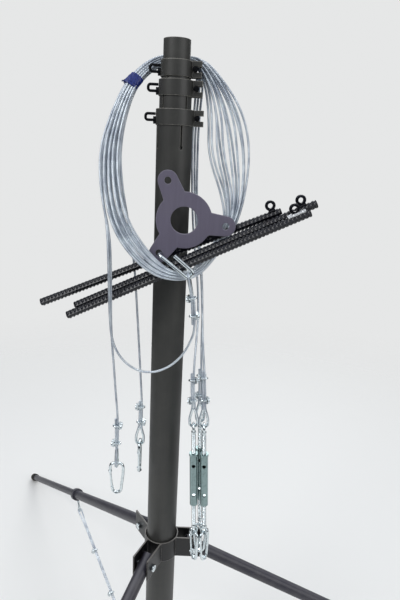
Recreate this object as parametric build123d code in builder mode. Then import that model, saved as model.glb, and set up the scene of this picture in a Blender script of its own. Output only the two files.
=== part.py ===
from build123d import *
from math import cos, pi, radians, sin, tan
import os

os.makedirs("parts", exist_ok=True)

# Portable telescopic steel mast, retracted on its tripod, with its guy kit hung on it.
# Millimetres. The origin is on the mast's axis at the ground, +Z up, and +Y points away
# from the side on which the guy plate and the stakes hang.

# Fits between pieces
SEAT = 0.3                    # a piece that rests on another, or hangs beside it
TIGHT = 0.05                  # a band round the tube that it grips, on the radius
PIN_FIT = 0.2                 # a bolt in its hole, on the radius
BOLT_SEAT = 0.1               # a bolt's nut or head on the ears that it draws together
ROPE_FIT = 0.3                # a rope in its clip, on the radius

# Mast tubes, from the outer one to the top one
SECTION_1_OD = 60.0
SECTION_1_WALL = 3.0
SECTION_2_OD = 53.0
SECTION_2_WALL = 2.0
SECTION_3_OD = 48.0
SECTION_3_WALL = 1.5
SECTION_4_OD = 44.0
SECTION_4_WALL = 1.5
SECTION_1_TOP = 1348.0
SECTION_2_STEP = 45.0         # top of a tube above the top of the one outside it
SECTION_3_STEP = 29.0
SECTION_4_STEP = 31.0
SECTION_2_TOP = SECTION_1_TOP + SECTION_2_STEP
SECTION_3_TOP = SECTION_2_TOP + SECTION_3_STEP
SECTION_4_TOP = SECTION_3_TOP + SECTION_4_STEP
SLIT_WIDTH = 2.5
SLIT_LENGTH = 60.0
SLIT_COUNT = 4
SLIT_ANGLES = (26.0, 45.0, 60.0)  # first slit of each slit tube, from the front, towards +X
SLIT_HOLE_DIAMETER = 6.0

# Foot plate and the lugs that the leg stays are tied to
PLATE_DIAMETER = 94.0
PLATE_THICKNESS = 6.0
LUG_WIDTH = 16.0
LUG_HEIGHT = 10.0             # hole's middle above the plate
LUG_THICKNESS = 4.0
LUG_HOLE_DIAMETER = 8.0

# Clamps round the slit ends of the three outer tubes
BAND_WALL = 1.6
BAND_HEIGHT = 25.0
EAR_REACH = 15.0              # ears, out from the band
EAR_THICKNESS = 4.0
EAR_GAP = 8.0                 # between the two ears
EAR_NOTCH_HEIGHT = 9.0        # open notch in which the swing bolt lies
EAR_NOTCH_DEPTH = 13.0
SWING_BOLT_DIAMETER = 6.0
SWING_NUT_WIDTH = 10.0        # across flats
SWING_NUT_HEIGHT = 5.0
SWING_HEAD_LENGTH = 18.0
SWING_HEAD_HEIGHT = 4.0
EYE_WIRE = 4.5                # bent rod of the locking eye screw
EYE_REACH = 17.0
EYE_TIP = 0.5                 # rod's open end, from the band
EYE_HEIGHT = 10.0
EYE_BEND = 4.0
EYE_NUT_DIAMETER = 12.0
EYE_NUT_HEIGHT = 4.0

# Leg collar with its three clevises
COLLAR_ABOVE_PIVOT = 28.0     # top of the collar above the legs' pivots
COLLAR_HEIGHT = 45.0
COLLAR_OD = 70.0
COLLAR_WALL = 2.5
CLEVIS_GAP = 28.0
CLEVIS_THICKNESS = 3.0
CLEVIS_END = 86.0             # from the mast's axis
LEG_AZIMUTHS = (1.0, 124.0, 246.0)
PIVOT_RADIUS = 68.0
PIVOT_HEIGHT = 482.0
COLLAR_TOP = PIVOT_HEIGHT + COLLAR_ABOVE_PIVOT
PIVOT_BOLT_DIAMETER = 8.0
PIVOT_HEAD_WIDTH = 13.0
PIVOT_HEAD_HEIGHT = 5.0
SET_BOLT_DIAMETER = 8.0
SET_BOLT_LENGTH = 26.0
SET_BOLT_ANGLE = 65.0         # unseen side, between two clevises
SET_NUT_WIDTH = 14.0
SET_NUT_HEIGHT = 7.0

# Telescopic legs
LEG_SLOPE = 26.5              # below level
LEG_OUTER_OD = 25.0
LEG_OUTER_WALL = 1.8
LEG_OUTER_LENGTH = 512.0      # from the pivot
LEG_BACK = 20.0               # tube past the pivot, towards the mast
LEG_INNER_OD = 20.0
LEG_INNER_WALL = 2.0
LEG_INNER_START = 420.0       # inner tube's hidden end, from the pivot
FOOT_RADIUS = 13.0
FOOT_SLEEVE = 28.0
LEG_CLAMP_OD = 35.0
LEG_CLAMP_LENGTH = 16.0
LEG_SCREW_DIAMETER = 6.0
LEG_SCREW_LENGTH = 18.0
LEG_EYE_OD = 18.0
STAY_DIAMETER = 4.0
STAY_CLIP_PLACES = (0.27, 0.52)   # shares of the stay's length, from the leg

# Guy plate
RING_CENTRE = (24.0, 1174.4)
RING_FACE_Y = -52.0           # back face, towards the mast
RING_THICKNESS = 4.0
RING_OD = 93.0
RING_BORE = 45.0
RING_LUG_CIRCLE = 69.0        # radius of the lug holes' circle
RING_LUG_RADIUS = 16.5
RING_LUG_ROOT = 44.0          # width of a lug where it leaves the disc
RING_LUG_HOLE = 11.5
RING_FIRST_ANGLE = -5.5
RING_LUGS = 3

# Ground stakes of ribbed bar: foot end and slope, in the picture plane, and depth
STAKE_DIAMETER = 14.0
STAKE_LENGTH = 441.0
STAKE_PLACES = (
    (-220.2, -44.5, 1017.7, 23.8),
    (-158.2, -55.6, 1018.4, 26.1),
    (-168.7, -68.1, 1004.4, 26.2),
)
STAKE_NUT_OD = 19.0
STAKE_NUT_BORE = 11.0
STAKE_NUT_THICKNESS = 9.0
STAKE_NUT_PLACES = (14.0, 22.0, 22.0)  # from the stakes' upper ends

# Wire rope, its coil and its fittings
ROPE = 4.0
BEND_SHARE = 0.45             # of a rope's shorter run that its bend takes
TAPE_WRAP = 1.2
TAPE_WIDTH = 21.0
TAPE_SECTION_COUNT = 3        # the taped stretch starts so many sections before the coil's first
TAPE_OFFSET = 0.5             # from the start of that stretch
LINK_ROD = 6.0                # carabiners
LINK_LENGTH = 70.0
LINK_WIDTH = 31.0
HOOK_PATH = (
    (-13.7, -49.5, 1118.2), (-13.7, -76.0, 1119.0), (37.0, -96.0, 1086.0), (44.0, -96.0, 1097.0),
    (12.0, -92.0, 1122.0),
)
HOOK_BENDS = (7.0, 5.5, 5.0)
THIMBLE_ROD = 5.0
THIMBLE_LENGTH = 37.0
THIMBLE_WIDTH = 19.0
CLIP_ACROSS = 18.0            # rope clips, over both ropes
CLIP_DEPTH = 10.0
CLIP_LENGTH = 9.0             # along the rope
BODY_LENGTH = 112.0           # turnbuckle bodies
BODY_OD = 15.0
BODY_BORE = 11.0
BODY_HEAD = 14.0              # threaded ends of the body
BODY_RING_OD = 17.0           # ring round the body's upper end
BODY_RING_LENGTH = 5.0
BODY_HOLE = 7.0               # cross holes for a bar that turns the body
BODY_HOLE_PLACE = 24.5        # from the body's ends
SCREW_DIAMETER = 8.0
SCREW_OUT_TOP = 46.0          # rod between eye and body
SCREW_OUT_BOTTOM = 54.0
SCREW_IN = 20.0
SCREW_EYE_ROD = 5.0
SCREW_EYE_OD = 20.0


def finish(piece, name):
    piece.part.label = name
    export_step(piece.part, f"parts/{name}.step")


def along(start, end, share):
    """Point at a share of the way from start to end."""
    return tuple(a + (b - a) * share for a, b in zip(start, end))


def outwards(azimuth):
    """Level direction away from the mast's axis."""
    return Vector(cos(radians(azimuth)), sin(radians(azimuth)), 0)


def bend_radii(points):
    """Largest even bends of a rope laid through hand-chosen points."""
    radii = []
    for before, here, after in zip(points, points[1:], points[2:]):
        run_in = Vector(*here) - Vector(*before)
        run_out = Vector(*after) - Vector(*here)
        turn = radians(run_in.get_angle(run_out))
        radii.append(BEND_SHARE * min(run_in.length, run_out.length) / tan(turn / 2))
    return radii


def leg_frame(azimuth):
    """Plane at a leg's pivot: Z along the leg, X level across it."""
    out = outwards(azimuth)
    slope = radians(LEG_SLOPE)
    down = out * cos(slope) - Vector(0, 0, sin(slope))
    origin = out * PIVOT_RADIUS + Vector(0, 0, PIVOT_HEIGHT)
    return Plane(origin=origin, x_dir=Vector(-out.Y, out.X, 0), z_dir=down)


def pivot_plane(azimuth):
    """Plane at a leg's pivot: Z along the pivot's bolt."""
    out = outwards(azimuth)
    origin = out * PIVOT_RADIUS + Vector(0, 0, PIVOT_HEIGHT)
    return Plane(origin=origin, x_dir=out, z_dir=Vector(-out.Y, out.X, 0))


# Mast tubes. Each stands in the one outside it, on the foot plate.
SECTION_SIZES = (
    (SECTION_1_OD, SECTION_1_WALL, PLATE_THICKNESS, SECTION_1_TOP, SLIT_ANGLES[0]),
    (SECTION_2_OD, SECTION_2_WALL, PLATE_THICKNESS + SEAT, SECTION_2_TOP, SLIT_ANGLES[1]),
    (SECTION_3_OD, SECTION_3_WALL, PLATE_THICKNESS + SEAT, SECTION_3_TOP, SLIT_ANGLES[2]),
    (SECTION_4_OD, SECTION_4_WALL, PLATE_THICKNESS + SEAT, SECTION_4_TOP, None),
)
for number, (outer, wall, bottom, top, slit_angle) in enumerate(SECTION_SIZES, start=1):
    with BuildPart() as section:
        with BuildSketch(Plane.XY.offset(bottom)):
            Circle(outer / 2)
            Circle(outer / 2 - wall, mode=Mode.SUBTRACT)
        extrude(amount=top - bottom)
        if slit_angle is not None:
            first = slit_angle - 90.0
            with BuildSketch(Plane.XY.offset(top)):
                with PolarLocations(0, SLIT_COUNT, first):
                    Rectangle(outer, SLIT_WIDTH, align=(Align.MIN, Align.CENTER))
            extrude(amount=-SLIT_LENGTH, mode=Mode.SUBTRACT)
            with Locations((0, 0, top - SLIT_LENGTH)):
                with PolarLocations(outer / 2, SLIT_COUNT, first):
                    Cylinder(SLIT_HOLE_DIAMETER / 2, outer, rotation=(0, 90, 0), mode=Mode.SUBTRACT)
    finish(section, f"section_{number}")

lug_place_radius = SECTION_1_OD / 2 + SEAT + LUG_WIDTH / 2
with BuildPart() as foot_plate:
    with BuildSketch():
        Circle(PLATE_DIAMETER / 2)
    extrude(amount=PLATE_THICKNESS)
    for azimuth in LEG_AZIMUTHS:
        out = outwards(azimuth)
        lug_foot = out * lug_place_radius + Vector(0, 0, PLATE_THICKNESS)
        upright = Plane(origin=lug_foot, x_dir=out, z_dir=Vector(out.Y, -out.X, 0))
        with BuildSketch(upright):
            with Locations((0, LUG_HEIGHT)):
                Circle(LUG_WIDTH / 2)
            Rectangle(LUG_WIDTH, LUG_HEIGHT, align=(Align.CENTER, Align.MIN))
            with Locations((0, LUG_HEIGHT)):
                Circle(LUG_HOLE_DIAMETER / 2, mode=Mode.SUBTRACT)
        extrude(amount=LUG_THICKNESS / 2, both=True)
finish(foot_plate, "foot_plate")

# Clamps. Each band grips the slit end of its tube; the ears are drawn together by a swing
# bolt on the +X side, and a locking eye screw stands out on the -X side.
for number in (1, 2, 3):
    outer, top = SECTION_SIZES[number - 1][0], SECTION_SIZES[number - 1][3]
    inside = outer / 2 + TIGHT
    outside = inside + BAND_WALL
    middle = top - BAND_HEIGHT / 2
    bolt_x = outside + EAR_REACH - EAR_NOTCH_DEPTH + SWING_BOLT_DIAMETER / 2 + PIN_FIT

    with BuildPart() as band:
        with BuildSketch(Plane.XY.offset(top - BAND_HEIGHT)):
            Circle(outside)
            with Locations((inside + BAND_WALL / 2, 0)):
                Rectangle(EAR_REACH + BAND_WALL, EAR_GAP + 2 * EAR_THICKNESS,
                          align=(Align.MIN, Align.CENTER))
            Rectangle(outside + EAR_REACH, EAR_GAP, align=(Align.MIN, Align.CENTER), mode=Mode.SUBTRACT)
            Circle(inside, mode=Mode.SUBTRACT)
        extrude(amount=BAND_HEIGHT)
        with BuildSketch(Plane.XZ):
            with Locations((outside + EAR_REACH + BAND_WALL, middle)):
                Rectangle(EAR_NOTCH_DEPTH + BAND_WALL, EAR_NOTCH_HEIGHT,
                          align=(Align.MAX, Align.CENTER))
        extrude(amount=outside, both=True, mode=Mode.SUBTRACT)
    finish(band, f"clamp_{number}_band")

    reach = EAR_GAP / 2 + EAR_THICKNESS
    with BuildPart() as swing_bolt:
        with BuildSketch(Plane.XZ.offset(reach + BOLT_SEAT)):
            with Locations((bolt_x, middle)):
                RegularPolygon(SWING_NUT_WIDTH / 2, 6, major_radius=False)
        extrude(amount=SWING_NUT_HEIGHT)
        with BuildSketch(Plane.XZ.offset(-reach - BOLT_SEAT - SWING_HEAD_HEIGHT)):
            with Locations((bolt_x, middle)):
                Rectangle(SWING_BOLT_DIAMETER, SWING_HEAD_LENGTH)
        extrude(amount=SWING_HEAD_HEIGHT)
        with BuildSketch(Plane.XZ.offset(-reach - BOLT_SEAT)):
            with Locations((bolt_x, middle)):
                Circle(SWING_BOLT_DIAMETER / 2)
        extrude(amount=2 * (reach + BOLT_SEAT) + SWING_NUT_HEIGHT)
    finish(swing_bolt, f"clamp_{number}_swing_bolt")

    start = -outside - TIGHT
    low, high = middle - EYE_HEIGHT / 2, middle + EYE_HEIGHT / 2
    with BuildPart() as eye_screw:
        with BuildLine() as wire:
            FilletPolyline((start, 0, low), (start - EYE_REACH, 0, low), (start - EYE_REACH, 0, high),
                           (start - EYE_TIP, 0, high), radius=EYE_BEND)
        with BuildSketch(Plane(origin=(start, 0, low), z_dir=(-1, 0, 0))):
            Circle(EYE_WIRE / 2)
        sweep(path=wire.wires()[0])
        with BuildSketch(Plane(origin=(start, 0, low), z_dir=(-1, 0, 0))):
            Circle(EYE_NUT_DIAMETER / 2)
        extrude(amount=EYE_NUT_HEIGHT)
        with BuildSketch(Plane.XY.offset(middle - BAND_HEIGHT)):
            Circle(outside + TIGHT)
        extrude(amount=2 * BAND_HEIGHT, mode=Mode.SUBTRACT)
    finish(eye_screw, f"clamp_{number}_eye_screw")

# Leg collar, loose round the outer tube: the set bolt bears on the tube
clevis_outside = CLEVIS_GAP / 2 + CLEVIS_THICKNESS
clevis_middle = CLEVIS_GAP / 2 + CLEVIS_THICKNESS / 2
with BuildPart() as leg_collar:
    bottom = COLLAR_TOP - COLLAR_HEIGHT
    with BuildSketch(Plane.XY.offset(bottom)):
        Circle(COLLAR_OD / 2)
        for azimuth in LEG_AZIMUTHS:
            with Locations(Rotation(0, 0, azimuth)):
                with Locations((0, clevis_middle), (0, -clevis_middle)):
                    Rectangle(CLEVIS_END, CLEVIS_THICKNESS, align=(Align.MIN, Align.CENTER))
        Circle(COLLAR_OD / 2 - COLLAR_WALL, mode=Mode.SUBTRACT)
    extrude(amount=COLLAR_HEIGHT)
    for azimuth in LEG_AZIMUTHS:
        with BuildSketch(pivot_plane(azimuth)):
            Circle(PIVOT_BOLT_DIAMETER / 2 + TIGHT)
        extrude(amount=clevis_outside + SEAT, both=True, mode=Mode.SUBTRACT)
    set_way = outwards(SET_BOLT_ANGLE)
    set_height = Vector(0, 0, COLLAR_TOP - COLLAR_HEIGHT / 2)
    with BuildSketch(Plane(origin=set_height, z_dir=set_way)):
        Circle(SET_BOLT_DIAMETER / 2 + TIGHT)
    extrude(amount=COLLAR_OD, mode=Mode.SUBTRACT)
finish(leg_collar, "leg_collar")

with BuildPart() as collar_set_bolt:
    tip = set_way * (SECTION_1_OD / 2 + TIGHT) + set_height
    with BuildSketch(Plane(origin=tip, z_dir=set_way)):
        Circle(SET_BOLT_DIAMETER / 2)
    extrude(amount=SET_BOLT_LENGTH)
    seat = set_way * (COLLAR_OD / 2 + SEAT) + set_height
    with BuildSketch(Plane(origin=seat, z_dir=set_way)):
        RegularPolygon(SET_NUT_WIDTH / 2, 6, major_radius=False)
    extrude(amount=SET_NUT_HEIGHT)
finish(collar_set_bolt, "collar_set_bolt")

with BuildPart() as leg_pivot_bolts:
    for azimuth in LEG_AZIMUTHS:
        pivot = pivot_plane(azimuth)
        head_start = clevis_outside + TIGHT
        with BuildSketch(pivot):
            Circle(PIVOT_BOLT_DIAMETER / 2)
        extrude(amount=head_start + PIVOT_HEAD_HEIGHT + SEAT, both=True)
        with BuildSketch(pivot.offset(head_start), pivot.offset(-head_start - PIVOT_HEAD_HEIGHT)):
            RegularPolygon(PIVOT_HEAD_WIDTH / 2, 6, major_radius=False)
        extrude(amount=PIVOT_HEAD_HEIGHT)
finish(leg_pivot_bolts, "leg_pivot_bolts")

# Legs: outer tube in the clevis, inner tube clamped in it, foot on the ground, and a wire
# stay from the clamp's eye to the foot plate, which keeps the leg from spreading.
foot_distance = (PIVOT_HEIGHT - FOOT_RADIUS) / sin(radians(LEG_SLOPE))
clamp_middle = LEG_OUTER_LENGTH - LEG_CLAMP_LENGTH / 2
for number, azimuth in enumerate(LEG_AZIMUTHS, start=1):
    frame = leg_frame(azimuth)
    with BuildPart() as leg_tube:
        with BuildSketch(frame.offset(-LEG_BACK)):
            Circle(LEG_OUTER_OD / 2)
            Circle(LEG_OUTER_OD / 2 - LEG_OUTER_WALL, mode=Mode.SUBTRACT)
        extrude(amount=LEG_BACK + LEG_OUTER_LENGTH)
        with BuildSketch(Plane(origin=frame.origin, x_dir=frame.z_dir, z_dir=frame.x_dir)):
            Circle(PIVOT_BOLT_DIAMETER / 2 + PIN_FIT)
        extrude(amount=LEG_OUTER_OD, both=True, mode=Mode.SUBTRACT)
    finish(leg_tube, f"leg_{number}_outer_tube")

    with BuildPart() as leg_inner:
        with BuildSketch(frame.offset(LEG_INNER_START)):
            Circle(LEG_INNER_OD / 2)
            Circle(LEG_INNER_OD / 2 - LEG_INNER_WALL, mode=Mode.SUBTRACT)
        extrude(amount=foot_distance - LEG_INNER_START)
    finish(leg_inner, f"leg_{number}_inner_tube")

    with BuildPart() as foot:
        with BuildSketch(frame.offset(foot_distance - FOOT_SLEEVE)):
            Circle(FOOT_RADIUS)
        extrude(amount=FOOT_SLEEVE)
        with Locations(frame.offset(foot_distance)):
            Sphere(FOOT_RADIUS)
        with BuildSketch(frame.offset(foot_distance - FOOT_SLEEVE)):
            Circle(LEG_INNER_OD / 2 + TIGHT)
        extrude(amount=FOOT_SLEEVE + TIGHT, mode=Mode.SUBTRACT)
    finish(foot, f"leg_{number}_foot")

    with BuildPart() as leg_clamp:
        with BuildSketch(frame.offset(clamp_middle - LEG_CLAMP_LENGTH / 2)):
            Circle(LEG_CLAMP_OD / 2)
            Circle(LEG_OUTER_OD / 2 + TIGHT, mode=Mode.SUBTRACT)
        extrude(amount=LEG_CLAMP_LENGTH)
    finish(leg_clamp, f"leg_{number}_clamp")

    # The clamp's screw, with the eye that the stay is hooked to, points down
    under = frame.y_dir * (-1 if frame.y_dir.Z > 0 else 1)
    clamp_point = frame.origin + frame.z_dir * clamp_middle
    screw_foot = clamp_point + under * (LEG_CLAMP_OD / 2 + TIGHT)
    eye_point = screw_foot + under * (LEG_SCREW_LENGTH + LEG_EYE_OD / 2)
    with BuildPart() as leg_screw:
        with BuildSketch(Plane(origin=screw_foot, x_dir=frame.x_dir, z_dir=under)):
            Circle(LEG_SCREW_DIAMETER / 2)
        extrude(amount=LEG_SCREW_LENGTH + LEG_SCREW_DIAMETER / 2)
        with Locations(Plane(origin=eye_point, x_dir=under, z_dir=frame.x_dir)):
            Torus(LEG_EYE_OD / 2 - LEG_SCREW_DIAMETER / 2, LEG_SCREW_DIAMETER / 2)
    finish(leg_screw, f"leg_{number}_clamp_screw")

    lug_point = outwards(azimuth) * lug_place_radius + Vector(0, 0, PLATE_THICKNESS + LUG_HEIGHT)
    way = (lug_point - eye_point).normalized()
    stay_start = eye_point + way * (LEG_EYE_OD / 2 + SEAT)
    stay_end = lug_point - way * (LUG_WIDTH / 2 + SEAT)
    with BuildPart() as leg_stay:
        with BuildSketch(Plane(origin=stay_start, z_dir=way)):
            Circle(STAY_DIAMETER / 2)
        extrude(amount=(stay_end - stay_start).length)
        for share in STAY_CLIP_PLACES:
            with Locations(Plane(origin=stay_start + (stay_end - stay_start) * share, z_dir=way)):
                Box(CLIP_ACROSS, CLIP_DEPTH, CLIP_LENGTH)
    finish(leg_stay, f"leg_{number}_stay")

# Guy plate: disc with three lugs, hung in front of the mast
ring_middle = (RING_CENTRE[0], RING_FACE_Y, RING_CENTRE[1])
with BuildPart() as guy_plate:
    with BuildSketch(Plane(origin=ring_middle, x_dir=(1, 0, 0), z_dir=(0, -1, 0))):
        Circle(RING_OD / 2)
        with PolarLocations(RING_LUG_CIRCLE, RING_LUGS, RING_FIRST_ANGLE):
            Circle(RING_LUG_RADIUS)
        with PolarLocations(0, RING_LUGS, RING_FIRST_ANGLE):
            Polygon((0, RING_LUG_ROOT / 2), (RING_LUG_CIRCLE, RING_LUG_RADIUS),
                    (RING_LUG_CIRCLE, -RING_LUG_RADIUS), (0, -RING_LUG_ROOT / 2), align=None)
        Circle(RING_BORE / 2, mode=Mode.SUBTRACT)
        with PolarLocations(RING_LUG_CIRCLE, RING_LUGS, RING_FIRST_ANGLE):
            Circle(RING_LUG_HOLE / 2, mode=Mode.SUBTRACT)
    extrude(amount=RING_THICKNESS)
finish(guy_plate, "guy_plate")

# Stakes, each with a nut welded on near its upper end for the guy's hook
for number, (foot_x, depth, foot_z, slope) in enumerate(STAKE_PLACES, start=1):
    nut_place = STAKE_NUT_PLACES[number - 1]
    way = Vector(cos(radians(slope)), 0, sin(radians(slope)))
    above = Vector(-way.Z, 0, way.X)
    foot = Vector(foot_x, depth, foot_z)
    nut_off = STAKE_DIAMETER / 2 + STAKE_NUT_OD / 2 - TIGHT
    nut_centre = foot + way * (STAKE_LENGTH - nut_place) + above * nut_off
    nut_face = nut_centre + Vector(0, STAKE_NUT_THICKNESS / 2, 0)
    with BuildPart() as stake:
        with BuildSketch(Plane(origin=foot, z_dir=way)):
            Circle(STAKE_DIAMETER / 2)
        extrude(amount=STAKE_LENGTH)
        with BuildSketch(Plane(origin=nut_face, x_dir=way, z_dir=(0, -1, 0))):
            RegularPolygon(STAKE_NUT_OD / 2, 6, major_radius=False)
            Circle(STAKE_NUT_BORE / 2, mode=Mode.SUBTRACT)
        extrude(amount=STAKE_NUT_THICKNESS)
    finish(stake, f"stake_{number}")

# Coil of the three guys: middle of the bundle, its half width across the coil and its half
# depth, from behind the mast's top clockwise down the +X side
COIL_SECTIONS = (
    ((2, 41, 1429.5), 9, 6),
    ((35, 18.4, 1427), 9, 7.5),
    ((62, 16, 1395), 17, 6),
    ((83.5, 10, 1345), 30.5, 6),
    ((93, 2, 1285), 39, 6),
    ((107, -10, 1215), 22, 6),
    ((102.5, -22, 1165), 11, 6),
    ((80, -28, 1125), 10, 7),
    ((50, -54, 1086), 8, 7),
    ((18, -84, 1086), 8.5, 6),
    ((-14, -87, 1092), 10, 6),
    ((-48, -85, 1116), 13, 6),
    ((-80, -76, 1160), 16, 7),
    ((-96, -58, 1215), 19, 8),
    ((-101, -38, 1275), 18.5, 8),
    ((-92, -18, 1330), 14, 9),
    ((-74, -2, 1383), 11, 8),
    ((-48, 16, 1414), 9.5, 7),
    ((-24, 36, 1429), 9, 6),
)
COIL_MIDDLE = (0.0, -20.0, 1255.0)
COIL_SIDES = 8


def coil_section(index, grown=0.0):
    """Plane across the bundle, and the bundle's two half sizes there."""
    count = len(COIL_SECTIONS)
    centre, wide, deep = COIL_SECTIONS[index % count]
    before, after = COIL_SECTIONS[(index - 1) % count][0], COIL_SECTIONS[(index + 1) % count][0]
    way = Vector(*after) - Vector(*before)
    outward = Vector(*centre) - Vector(*COIL_MIDDLE)
    outward = outward - way * (outward.dot(way) / way.dot(way))
    return Plane(origin=centre, x_dir=outward, z_dir=way), wide + grown, deep + grown


def octagon(wide, deep):
    corners = [radians(360 / COIL_SIDES * (k + 0.5)) for k in range(COIL_SIDES)]
    return [(wide * cos(angle), deep * sin(angle)) for angle in corners]


with BuildPart() as guy_coil:
    for index in range(len(COIL_SECTIONS)):
        for at in (index, index + 1):
            across, wide, deep = coil_section(at)
            with BuildSketch(across):
                with BuildLine():
                    Polyline(*octagon(wide, deep), close=True)
                make_face()
        loft(ruled=True)
finish(guy_coil, "guy_coil")

# Wire rope stretches that hang out of the coil. Ropes 1 and 2 end in hooks on the -X side, rope
# 3 hangs in a bight below the guy plate; the lower ends of all three pass behind the mast's
# +X side down to the turnbuckles.
UPPER_TAIL_1 = (
    (-94.3, -79, 1152.1), (-91.5, -81.5, 1098), (-91.5, -82.5, 1048), (-92, -79, 1000), (-91.5, -71, 954),
    (-89.5, -63, 907), (-87.5, -58, 859), (-85.5, -56, 812), (-85, -56.5, 768), (-85.5, -56.5, 739),
)
UPPER_TAIL_2 = (
    (-78.5, -48, 1218), (-71, -38, 1170), (-64, -32, 1122), (-59, -28.5, 1074), (-56, -26.5, 1026),
    (-53, -25.5, 978), (-50, -25, 930), (-47, -25.2, 881), (-45, -26, 834), (-44.8, -26.5, 796),
    (-46, -26.5, 770),
)
UPPER_TAIL_3 = (
    (-98.4, -76.9, 1161.1), (-98.5, -85.5, 1110), (-97.5, -87, 1060), (-95.5, -87, 1010), (-90, -85, 966),
    (-74, -84, 930), (-50, -83.5, 911), (-22, -83, 908), (6, -83, 920), (29, -84, 943), (43, -86, 971),
    (49.3, -88.8, 998), (45.5, -93.3, 1046), (42.5, -94.3, 1060.8),
)
LOWER_TAIL_1 = (
    (35, 22.5, 1412.6), (31, 27, 1362), (29.5, 28, 1312), (30.5, 28.5, 1263), (33, 28, 1215), (36, 26.5, 1168),
    (41.5, 22.5, 1122), (48, 16, 1077), (52.7, 4, 1034), (55, -12, 991), (53.5, -30.5, 948), (50.5, -47, 907),
    (51.5, -57.5, 867), (55, -61, 834),
)
LOWER_TAIL_2 = (
    (39.6, 22.8, 1408.5), (35.8, 27.5, 1362), (34, 29, 1312), (35, 30, 1263), (37.5, 30, 1215),
    (41, 28.5, 1170), (47.5, 24, 1125), (55, 16, 1081), (59.2, 4, 1038), (62.5, -12, 996), (65.5, -29.5, 953),
    (69, -45, 912), (72.2, -57, 871), (74, -61, 834),
)
LOWER_TAIL_3 = (
    (44.7, 21.7, 1400.6), (40.8, 26.5, 1358), (39, 30, 1311), (39.8, 32, 1264), (41, 34, 1216), (44, 33, 1170),
    (50, 29, 1125), (56, 22, 1081), (60, 10.5, 1038), (62.5, -4, 994), (63.3, -17.5, 950),
    (63.8, -28.5, 908), (66, -36, 869), (66.5, -41, 834),
)
ROPES = {
    "rope_1_upper_tail": UPPER_TAIL_1,
    "rope_2_upper_tail": UPPER_TAIL_2,
    "rope_3_upper_tail": UPPER_TAIL_3,
    "rope_1_lower_tail": LOWER_TAIL_1,
    "rope_2_lower_tail": LOWER_TAIL_2,
    "rope_3_lower_tail": LOWER_TAIL_3,
}
for name, points in ROPES.items():
    radii = bend_radii(points)
    with BuildPart() as tail:
        with BuildLine() as route:
            FilletPolyline(*points, radius=radii)
        wire = route.wires()[0]
        with BuildSketch(Plane(origin=wire @ 0, z_dir=wire % 0)):
            Circle(ROPE / 2)
        sweep(path=wire)
    finish(tail, name)
    share = tail.part.volume / (pi * ROPE**2 / 4 * wire.length)
    print(name, "length", round(wire.length), "least radius", round(min(radii)), "share", round(share, 3))

with BuildPart() as coil_tape:
    for grown, mode in ((TAPE_WRAP + TIGHT, Mode.ADD), (TIGHT, Mode.SUBTRACT)):
        for at in (-TAPE_SECTION_COUNT, 1 - TAPE_SECTION_COUNT):
            across, wide, deep = coil_section(at, grown)
            with BuildSketch(across):
                with BuildLine():
                    Polyline(*octagon(wide, deep), close=True)
                make_face()
        loft(ruled=True, mode=mode)
    tape_from, tape_to = COIL_SECTIONS[-TAPE_SECTION_COUNT][0], COIL_SECTIONS[1 - TAPE_SECTION_COUNT][0]
    tape_way = (Vector(*tape_to) - Vector(*tape_from)).normalized()
    with BuildSketch(Plane(origin=Vector(*tape_from) + tape_way * TAPE_OFFSET, z_dir=tape_way)):
        Circle(COIL_SECTIONS[-TAPE_SECTION_COUNT][1] * 2)
    extrude(amount=TAPE_WIDTH, mode=Mode.INTERSECT)
finish(coil_tape, "coil_tape")


def loop_rod(top, way, across, length, width, rod):
    """Closed oval loop of bent rod; top is the middle of its upper bend."""
    run, half = length - rod, (width - rod) / 2
    flat = Plane(origin=top, x_dir=way, z_dir=way.cross(across))
    with BuildLine(flat) as path:
        Line((half, half), (run - half, half))
        ThreePointArc((run - half, half), (run, 0), (run - half, -half))
        Line((run - half, -half), (half, -half))
        ThreePointArc((half, -half), (0, 0), (half, half))
    loop = path.wires()[0]
    with BuildSketch(Plane(origin=loop @ 0, z_dir=loop % 0)) as rod_section:
        Circle(rod / 2)
    sweep(sections=rod_section.sketch, path=loop)


def rope_end(name):
    """Last point of a rope and its direction there."""
    points = ROPES[name]
    way = (Vector(*points[-1]) - Vector(*points[-2])).normalized()
    return Vector(*points[-1]), way


# Clips on the doubled ends of the ropes, two on each, and the thimbles in their eyes
with BuildPart() as rope_clips:
    for points in ROPES.values():
        for start, end in zip(points[-3:-1], points[-2:]):
            way = Vector(*end) - Vector(*start)
            square = Plane(origin=along(start, end, 0.5), x_dir=Vector(0, 1, 0).cross(way), z_dir=way)
            with Locations(square):
                Box(CLIP_ACROSS, CLIP_DEPTH, CLIP_LENGTH)
            with Locations(square):
                Cylinder(ROPE / 2 + ROPE_FIT, CLIP_LENGTH + SEAT, mode=Mode.SUBTRACT)
finish(rope_clips, "rope_clips")

FACING_FRONT = Vector(1, 0, 0)
EDGE_ON = Vector(0, 1, 0)
THIMBLE_TURNS = {
    "rope_1_upper_tail": EDGE_ON,
    "rope_2_upper_tail": FACING_FRONT,
    "rope_3_upper_tail": EDGE_ON,
    "rope_1_lower_tail": FACING_FRONT,
    "rope_2_lower_tail": FACING_FRONT,
    "rope_3_lower_tail": FACING_FRONT,
}
DOWN = Vector(0, 0, -1)
# The three lower chains lean a little, as they hang against each other
CHAIN_LEANS = {"rope_1_lower_tail": 2.6, "rope_2_lower_tail": 2.9, "rope_3_lower_tail": 2.6}
CHAIN_WAYS = {
    name: Vector(sin(radians(lean)), 0, -cos(radians(lean))) for name, lean in CHAIN_LEANS.items()
}


def thimble_top(name):
    """Middle of the thimble's bend that the rope ends at, and the way to its other end."""
    end, way = rope_end(name)
    way = CHAIN_WAYS.get(name, DOWN if way.Z < 0 else way)
    return end + way * (THIMBLE_ROD / 2 + SEAT), way


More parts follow.
